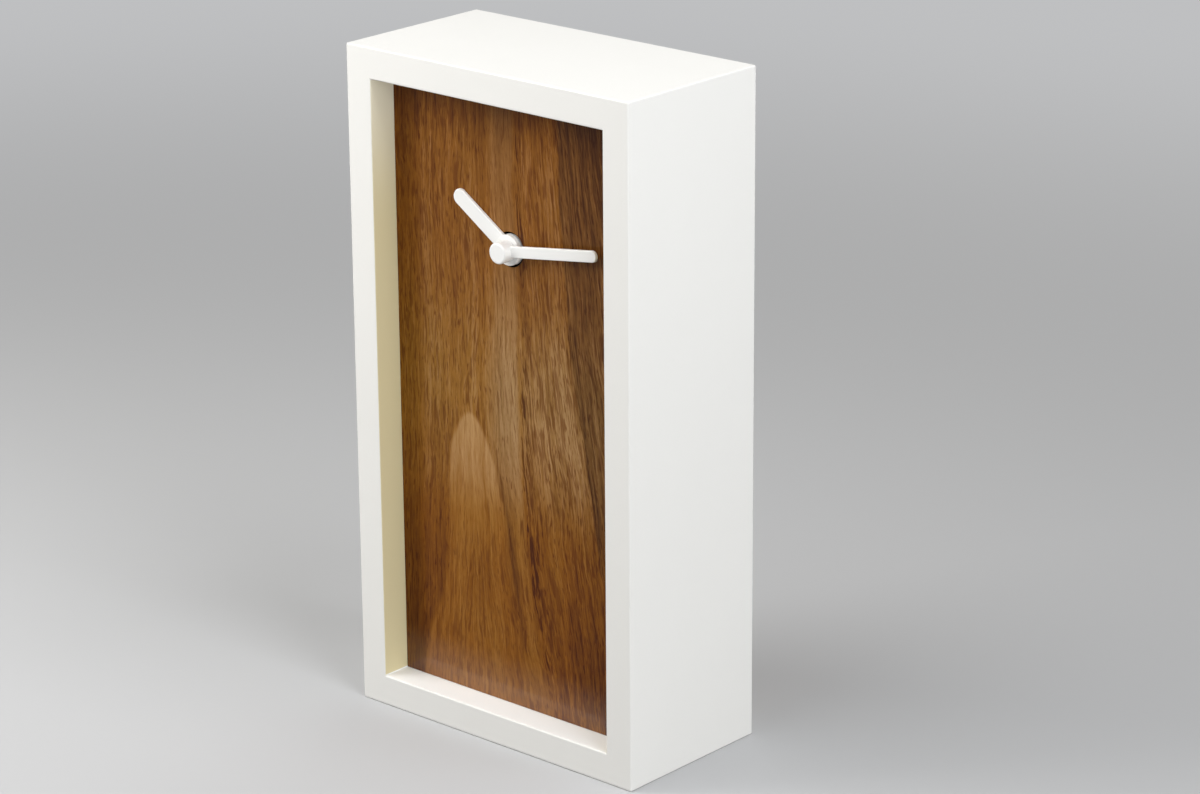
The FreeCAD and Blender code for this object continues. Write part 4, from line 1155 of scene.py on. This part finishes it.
def add_polarity_marks(settings, material):
    """A plus and a minus moulded on the cover over the ends of the battery."""
    aside, long_side, short_side = 21.5 * MM, 3.6 * MM, 0.9 * MM
    z = COVER_LOW.z + 4.0 * MM
    # the plus's upright is a little lower than its crossbar, so that no two faces coincide
    bars = (
        (aside, long_side, short_side, 1.0),
        (aside, short_side, long_side, 0.92),
        (-aside, long_side, short_side, 1.0),
    )
    bm = bmesh.new()
    for x, wide, high, share in bars:
        thick = settings.relief * share
        spot = (AXIS.x + x, COVER_HIGH.y + thick / 2 - NEST, z)
        raised_bar(bm, spot, (wide, thick, high), thick * 0.3)
    mesh = mesh_from(bm, "polarity_marks")
    smooth_by_angle(mesh)
    settle(new_object("polarity_marks", mesh, material), "case")


def can_profile(low, high, radius):
    """A drawn can, whose closed end is a shallow dish."""
    dish, dish_radius, rim_radius = low + 0.25 * MM, 4.3 * MM, 4.9 * MM
    return [
        (dish, 0), (dish, dish_radius), (low, rim_radius),
        (low, radius), (high, radius), (high, 0),
    ]


def jacket_profile(low, high, radius):
    """A shrunk jacket, folded in over both ends."""
    low_end, high_end = low + 0.1 * MM, high - 0.2 * MM
    return [
        (low_end, 0), (low_end, radius - 0.9 * MM), (low, radius - 0.7 * MM), (low, radius),
        (high, radius), (high, radius - 1.0 * MM), (high_end, radius - 1.1 * MM), (high_end, 0),
    ]


def button_profile(low, shoulder, high, plate_radius):
    """The raised end: a plate, and a button that tapers a little."""
    plate_low, plate_high, button = low + 0.05 * MM, shoulder - 0.05 * MM, 2.75 * MM
    return [
        (plate_low, 0), (plate_low, plate_radius), (plate_high, plate_radius),
        (plate_high, button + 0.8 * MM), (shoulder - 0.15 * MM, button + 0.1 * MM),
        (high, button - 0.15 * MM), (high, 0),
    ]


# ------------------------------------------------------------------ floor, lamps and camera
def seen_by_eye(graph):
    """One for rays from the camera and for what gloss and clear pieces show."""
    path = graph.add("ShaderNodeLightPath")
    return graph.most(*(graph.out(path, f"Is {kind} Ray") for kind in ("Camera", "Glossy", "Transmission")))


def set_world(settings):
    """Even light from all round, and a plain pale backdrop."""
    room_light = (1.0, 0.955, 0.875, 1)
    world = bpy.data.worlds.new("room")
    bpy.context.scene.world = world
    world.use_nodes = True
    world.node_tree.nodes.clear()
    graph = Graph(world.node_tree)
    seen = seen_by_eye(graph)
    light = graph.add("ShaderNodeBackground", {"Color": room_light, "Strength": settings.sky})
    backdrop = graph.add("ShaderNodeBackground", {"Color": rgba(settings.floor), "Strength": 1.0})
    mixed = graph.add("ShaderNodeMixShader", {0: seen, 1: graph.out(light), 2: graph.out(backdrop)})
    graph.add("ShaderNodeOutputWorld", {"Surface": graph.out(mixed)})


def floor_finish(settings):
    """Plainly lit near the clock, where it gives back only part of its light, and the backdrop beyond."""
    material = bpy.data.materials.new("floor")
    material.use_nodes = True
    graph = Graph(material.node_tree)
    material.node_tree.nodes.remove(material.node_tree.nodes["Principled BSDF"])
    haze_colour, fade_from, fade_to = (0.56, 0.57, 0.58, 1), 0.25, 1.3
    spot = graph.out(graph.add("ShaderNodeTexCoord"), "Object")
    far = graph.ease(graph.length(spot), fade_from, fade_to)
    haze = graph.noise(spot, scale=1.6, detail=2)
    tint = graph.mix((haze - 0.5) * 0.2, rgba(settings.floor), haze_colour)
    seen = seen_by_eye(graph)
    tint = graph.times(tint, graph.even(graph.most(seen, settings.bounce)))
    lit = graph.add("ShaderNodeBsdfDiffuse", {"Color": tint})
    plain = graph.add("ShaderNodeEmission", {"Color": rgba(settings.floor), "Strength": 1.0})
    mixed = graph.add("ShaderNodeMixShader", {0: far * seen, 1: graph.out(lit), 2: graph.out(plain)})
    graph.give(material.node_tree.nodes["Material Output"], surface=graph.out(mixed))
    return material


def set_floor(settings):
    """A wide round floor."""
    reach = 12.0
    bm = bmesh.new()
    bmesh.ops.create_circle(bm, cap_ends=True, radius=reach, segments=96)
    floor = new_object("floor", mesh_from(bm, "floor"), floor_finish(settings))


LAMPS = (
    # name, place, size and colour
    ("overhead", (-0.2, -0.45, 0.8), (0.8, 0.8), (1, 1, 1)),
    ("front", (-0.55, -0.45, 0.45), (0.5, 0.5), (1, 0.985, 0.955)),
    ("side", (0.5, -0.05, 0.9), (0.5, 0.5), (0.965, 0.98, 1)),
    # beyond the floor's lit part, so that its plane draws no edge there
    ("low", (1.3, -0.43, 0.3), (0.72, 0.72), (0.965, 0.98, 1)),
    ("back", (-0.5, 1.8, 0.16), (1.5, 0.3), (1, 0.995, 0.98)),
)


def set_lamps(settings):
    """Soft lamps, all turned towards the middle of the clock."""
    target = Vector((0, 0, 0.14))
    for name, place, size, colour in LAMPS:
        data = bpy.data.lights.new(name + " lamp", "AREA")
        data.shape = "RECTANGLE"
        data.size, data.size_y = size
        data.energy = getattr(settings, name)
        data.color = colour
        lamp = bpy.data.objects.new(name + " lamp", data)
        bpy.context.scene.collection.objects.link(lamp)
        lamp.location = place
        lamp.rotation_euler = (target - Vector(place)).to_track_quat("-Z", "Y").to_euler()


def set_camera(settings):
    """Looks down at the clock from the front right."""
    place = (0.92645, -1.01952, 0.59702)
    yaw, pitch, roll = 0.7247, -0.32782, -0.00711
    forward = Vector((-math.sin(yaw) * math.cos(pitch), math.cos(yaw) * math.cos(pitch), math.sin(pitch)))
    level = Vector((math.cos(yaw), math.sin(yaw), 0))
    up = level.cross(forward)
    across = math.cos(roll) * level + math.sin(roll) * up
    upright = math.cos(roll) * up - math.sin(roll) * level
    turn = Matrix((across, upright, -forward)).transposed()
    data = bpy.data.cameras.new("camera")
    data.sensor_width = 36.0
    data.lens = settings.lens
    data.clip_start = 0.05
    data.clip_end = 60.0
    camera = bpy.data.objects.new("camera", data)
    bpy.context.scene.collection.objects.link(camera)
    camera.matrix_world = Matrix.Translation(place) @ turn.to_4x4()
    bpy.context.scene.camera = camera


# ------------------------------------------------------------------ operators
class CLOCK_OT_effects(bpy.types.Operator):
    """Builds the node groups that the finishes share"""

    bl_idname = "clock.effects"
    bl_label = "Shared Effects"
    bl_options = {"REGISTER", "UNDO"}

    def execute(self, context):
        make_effects()
        return {"FINISHED"}


class CLOCK_OT_case(bpy.types.Operator):
    """Finishes the four white boards"""

    bl_idname = "clock.case"
    bl_label = "White Case"
    bl_options = {"REGISTER", "UNDO"}

    def execute(self, context):
        white = white_solid_surface(context.scene.clock_case)
        paint(white, "case_top", "case_bottom", "case_left", "case_right")
        return {"FINISHED"}


class CLOCK_OT_dial(bpy.types.Operator):
    """Finishes the walnut panel and its battens, and lays the glue beads behind it"""

    bl_idname = "clock.dial"
    bl_label = "Walnut Dial"
    bl_options = {"REGISTER", "UNDO"}

    def execute(self, context):
        settings = context.scene.clock_dial
        paint(walnut(settings), "walnut_dial")
        paint(pale_wood(settings), "dial_batten_left", "dial_batten_right")
        lay_glue(settings)
        return {"FINISHED"}


class CLOCK_OT_hands(bpy.types.Operator):
    """Paints the hour hand and the minute hand"""

    bl_idname = "clock.hands"
    bl_label = "Hands"
    bl_options = {"REGISTER", "UNDO"}

    def execute(self, context):
        paint(hand_paint(context.scene.clock_hands), "hour_hand", "minute_hand")
        return {"FINISHED"}


class CLOCK_OT_fixing(bpy.types.Operator):
    """Finishes the bushing, nut, washer and gasket that clamp the movement to the dial"""

    bl_idname = "clock.fixing"
    bl_label = "Dial Fixing"
    bl_options = {"REGISTER", "UNDO"}

    def execute(self, context):
        paint(metal("blackened metal"), "threaded_bushing", "bushing_nut", "nut_washer")
        rubber = plastic("rubber", (0.022, 0.022, 0.022), 0.72, pit=0.4, depth=0.03 * MM)
        paint(rubber, "dial_gasket")
        return {"FINISHED"}


class CLOCK_OT_movement_case(bpy.types.Operator):
    """Finishes the movement's tray, cover and knob, and adds the marks moulded on the cover"""

    bl_idname = "clock.movement_case"
    bl_label = "Movement Case"
    bl_options = {"REGISTER", "UNDO"}

    def execute(self, context):
        settings = context.scene.clock_movement
        black = plastic("black plastic", settings.plastic, 0.47, pit=0.28, depth=0.025 * MM,
                        contrast=0.12, specular_ior_level=0.5)
        knob = plastic("black knob plastic", settings.plastic, 0.36, pit=0.5, depth=0.012 * MM,
                       contrast=0.10, specular_ior_level=0.5)
        paint(black, "movement_tray", "movement_cover")
        paint(knob, "setting_knob")
        add_turn_arrows(settings, black)
        add_cover_ribs(settings, black)
        add_polarity_marks(settings, black)
        return {"FINISHED"}


class CLOCK_OT_train(bpy.types.Operator):
    """Finishes the plates, screws, wheels and clutch"""

    bl_idname = "clock.train"
    bl_label = "Plates and Wheels"
    bl_options = {"REGISTER", "UNDO"}

    def execute(self, context):
        settings = context.scene.clock_movement
        clear = plastic("clear brown plastic", (0.25, 0.115, 0.04), 0.24, pit=1.2, depth=0.006 * MM,
                        coat_weight=0.4, coat_roughness=0.1)
        white = plastic("white wheel plastic", settings.works, 0.33, pit=0.6, depth=0.006 * MM)
        paint(clear, "pillar_plate", "train_bridge", "coil_bobbin")
        paint(white, "hour_wheel", "motion_wheel", "third_wheel", "second_wheel", "intermediate_wheel",
              "rotor_pinion")
        paint(metal("brass"), "cannon_pinion", "centre_wheel")
        paint(metal("plated steel"), "bridge_screws")
        paint(metal("spring steel"), "clutch_spring", "positive_contact", "negative_contact")
        return {"FINISHED"}


class CLOCK_OT_motor(bpy.types.Operator):
    """Finishes the stepping motor, and winds its coil"""

    bl_idname = "clock.motor"
    bl_label = "Stepping Motor"
    bl_options = {"REGISTER", "UNDO"}

    def execute(self, context):
        settings = context.scene.clock_movement
        paint(metal("soft iron"), "stator", "coil_core")
        paint(metal("magnet"), "rotor_magnet")
        low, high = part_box("coil_winding")
        inputs = {
            "Centre": tuple((low + high) / 2),
            "Radius": (high.z - low.z) / 2,
            "Length": high.x - low.x,
            "Wire": settings.wire,
        }
        coil = grown("winding_turns", winding_tree(), inputs, copper_wire())
        settle(coil, "case", ["coil_winding"])
        return {"FINISHED"}


class CLOCK_OT_electronics(bpy.types.Operator):
    """Finishes the circuit board, its chip and its crystal"""

    bl_idname = "clock.electronics"
    bl_label = "Circuit"
    bl_options = {"REGISTER", "UNDO"}

    def execute(self, context):
        paint(circuit_lacquer(), "circuit_board")
        resin = plastic("black resin", (0.012, 0.012, 0.013), 0.2, pit=1.5, depth=0.03 * MM,
                        coat_weight=0.6, coat_roughness=0.08)
        paint(resin, "timing_chip")
        paint(metal("crystal can"), "quartz_crystal")
        return {"FINISHED"}


class CLOCK_OT_battery(bpy.types.Operator):
    """Turns the cell's can, jacket and terminal"""

    bl_idname = "clock.battery"
    bl_label = "Battery"
    bl_options = {"REGISTER", "UNDO"}

    def execute(self, context):
        steel = metal("tinned steel")
        can_low, can_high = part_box("battery_can")
        low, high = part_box("battery_sleeve")
        tip_low, tip_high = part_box("battery_terminal")
        axis = Vector((0, (low.y + high.y) / 2, (low.z + high.z) / 2))
        radius = (high.z - low.z) / 2
        can_radius = (can_high.z - can_low.z) / 2

        def lathe(name, profile, rounding, material, replaces):
            mesh = turned_mesh(name, rounded_profile(profile, rounding), axis, (1, 0, 0))
            settle(new_object(name, mesh, material), "battery", replaces)

        lathe("battery_case", can_profile(can_low.x, can_high.x, can_radius), 0.3 * MM,
              steel, ["battery_can"])
        lathe("battery_jacket", jacket_profile(low.x, high.x, radius), 0.35 * MM,
              battery_print(context.scene.clock_battery), ["battery_sleeve"])
        lathe("battery_button", button_profile(tip_low.x, high.x, tip_high.x, can_radius - 0.8 * MM),
              0.2 * MM, steel, ["battery_terminal"])
        return {"FINISHED"}


class CLOCK_OT_stage(bpy.types.Operator):
    """Sets the floor, the lamps, the room and the camera"""

    bl_idname = "clock.stage"
    bl_label = "Stage"
    bl_options = {"REGISTER", "UNDO"}

    def execute(self, context):
        settings = context.scene.clock_stage
        set_world(settings)
        set_floor(settings)
        set_lamps(settings)
        set_camera(settings)
        context.scene.view_settings.view_transform = "Standard"
        return {"FINISHED"}


# ------------------------------------------------------------------ panel and registration
class CLOCK_PT_panel(bpy.types.Panel):
    """Lists the clock's settings and the steps that dress it"""

    bl_idname = "CLOCK_PT_panel"
    bl_label = "White Desk Clock"
    bl_space_type = "VIEW_3D"
    bl_region_type = "UI"
    bl_category = "Desk Clock"

    def draw(self, context):
        layout = self.layout
        for operator in OPERATORS:
            layout.operator(operator.bl_idname)
        for name, group in SETTINGS.items():
            box = layout.box()
            box.label(text=group.__doc__)
            for prop in group.__annotations__:
                box.prop(getattr(context.scene, name), prop)


OPERATORS = (
    CLOCK_OT_effects,
    CLOCK_OT_case,
    CLOCK_OT_dial,
    CLOCK_OT_hands,
    CLOCK_OT_fixing,
    CLOCK_OT_movement_case,
    CLOCK_OT_train,
    CLOCK_OT_motor,
    CLOCK_OT_electronics,
    CLOCK_OT_battery,
    CLOCK_OT_stage,
)


def register():
    for group in SETTINGS.values():
        bpy.utils.register_class(group)
    for name, group in SETTINGS.items():
        setattr(bpy.types.Scene, name, PointerProperty(type=group))
    for operator in OPERATORS:
        bpy.utils.register_class(operator)
    bpy.utils.register_class(CLOCK_PT_panel)


def unregister():
    bpy.utils.unregister_class(CLOCK_PT_panel)
    for operator in reversed(OPERATORS):
        bpy.utils.unregister_class(operator)
    for name in SETTINGS:
        delattr(bpy.types.Scene, name)
    for group in reversed(list(SETTINGS.values())):
        bpy.utils.unregister_class(group)


def main():
    register()
    bpy.ops.clock.effects()
    bpy.ops.clock.case()
    bpy.ops.clock.dial()
    bpy.ops.clock.hands()
    bpy.ops.clock.fixing()
    bpy.ops.clock.movement_case()
    bpy.ops.clock.train()
    bpy.ops.clock.motor()
    bpy.ops.clock.electronics()
    bpy.ops.clock.battery()
    bpy.ops.clock.stage()


if __name__ == "__main__":
    main()
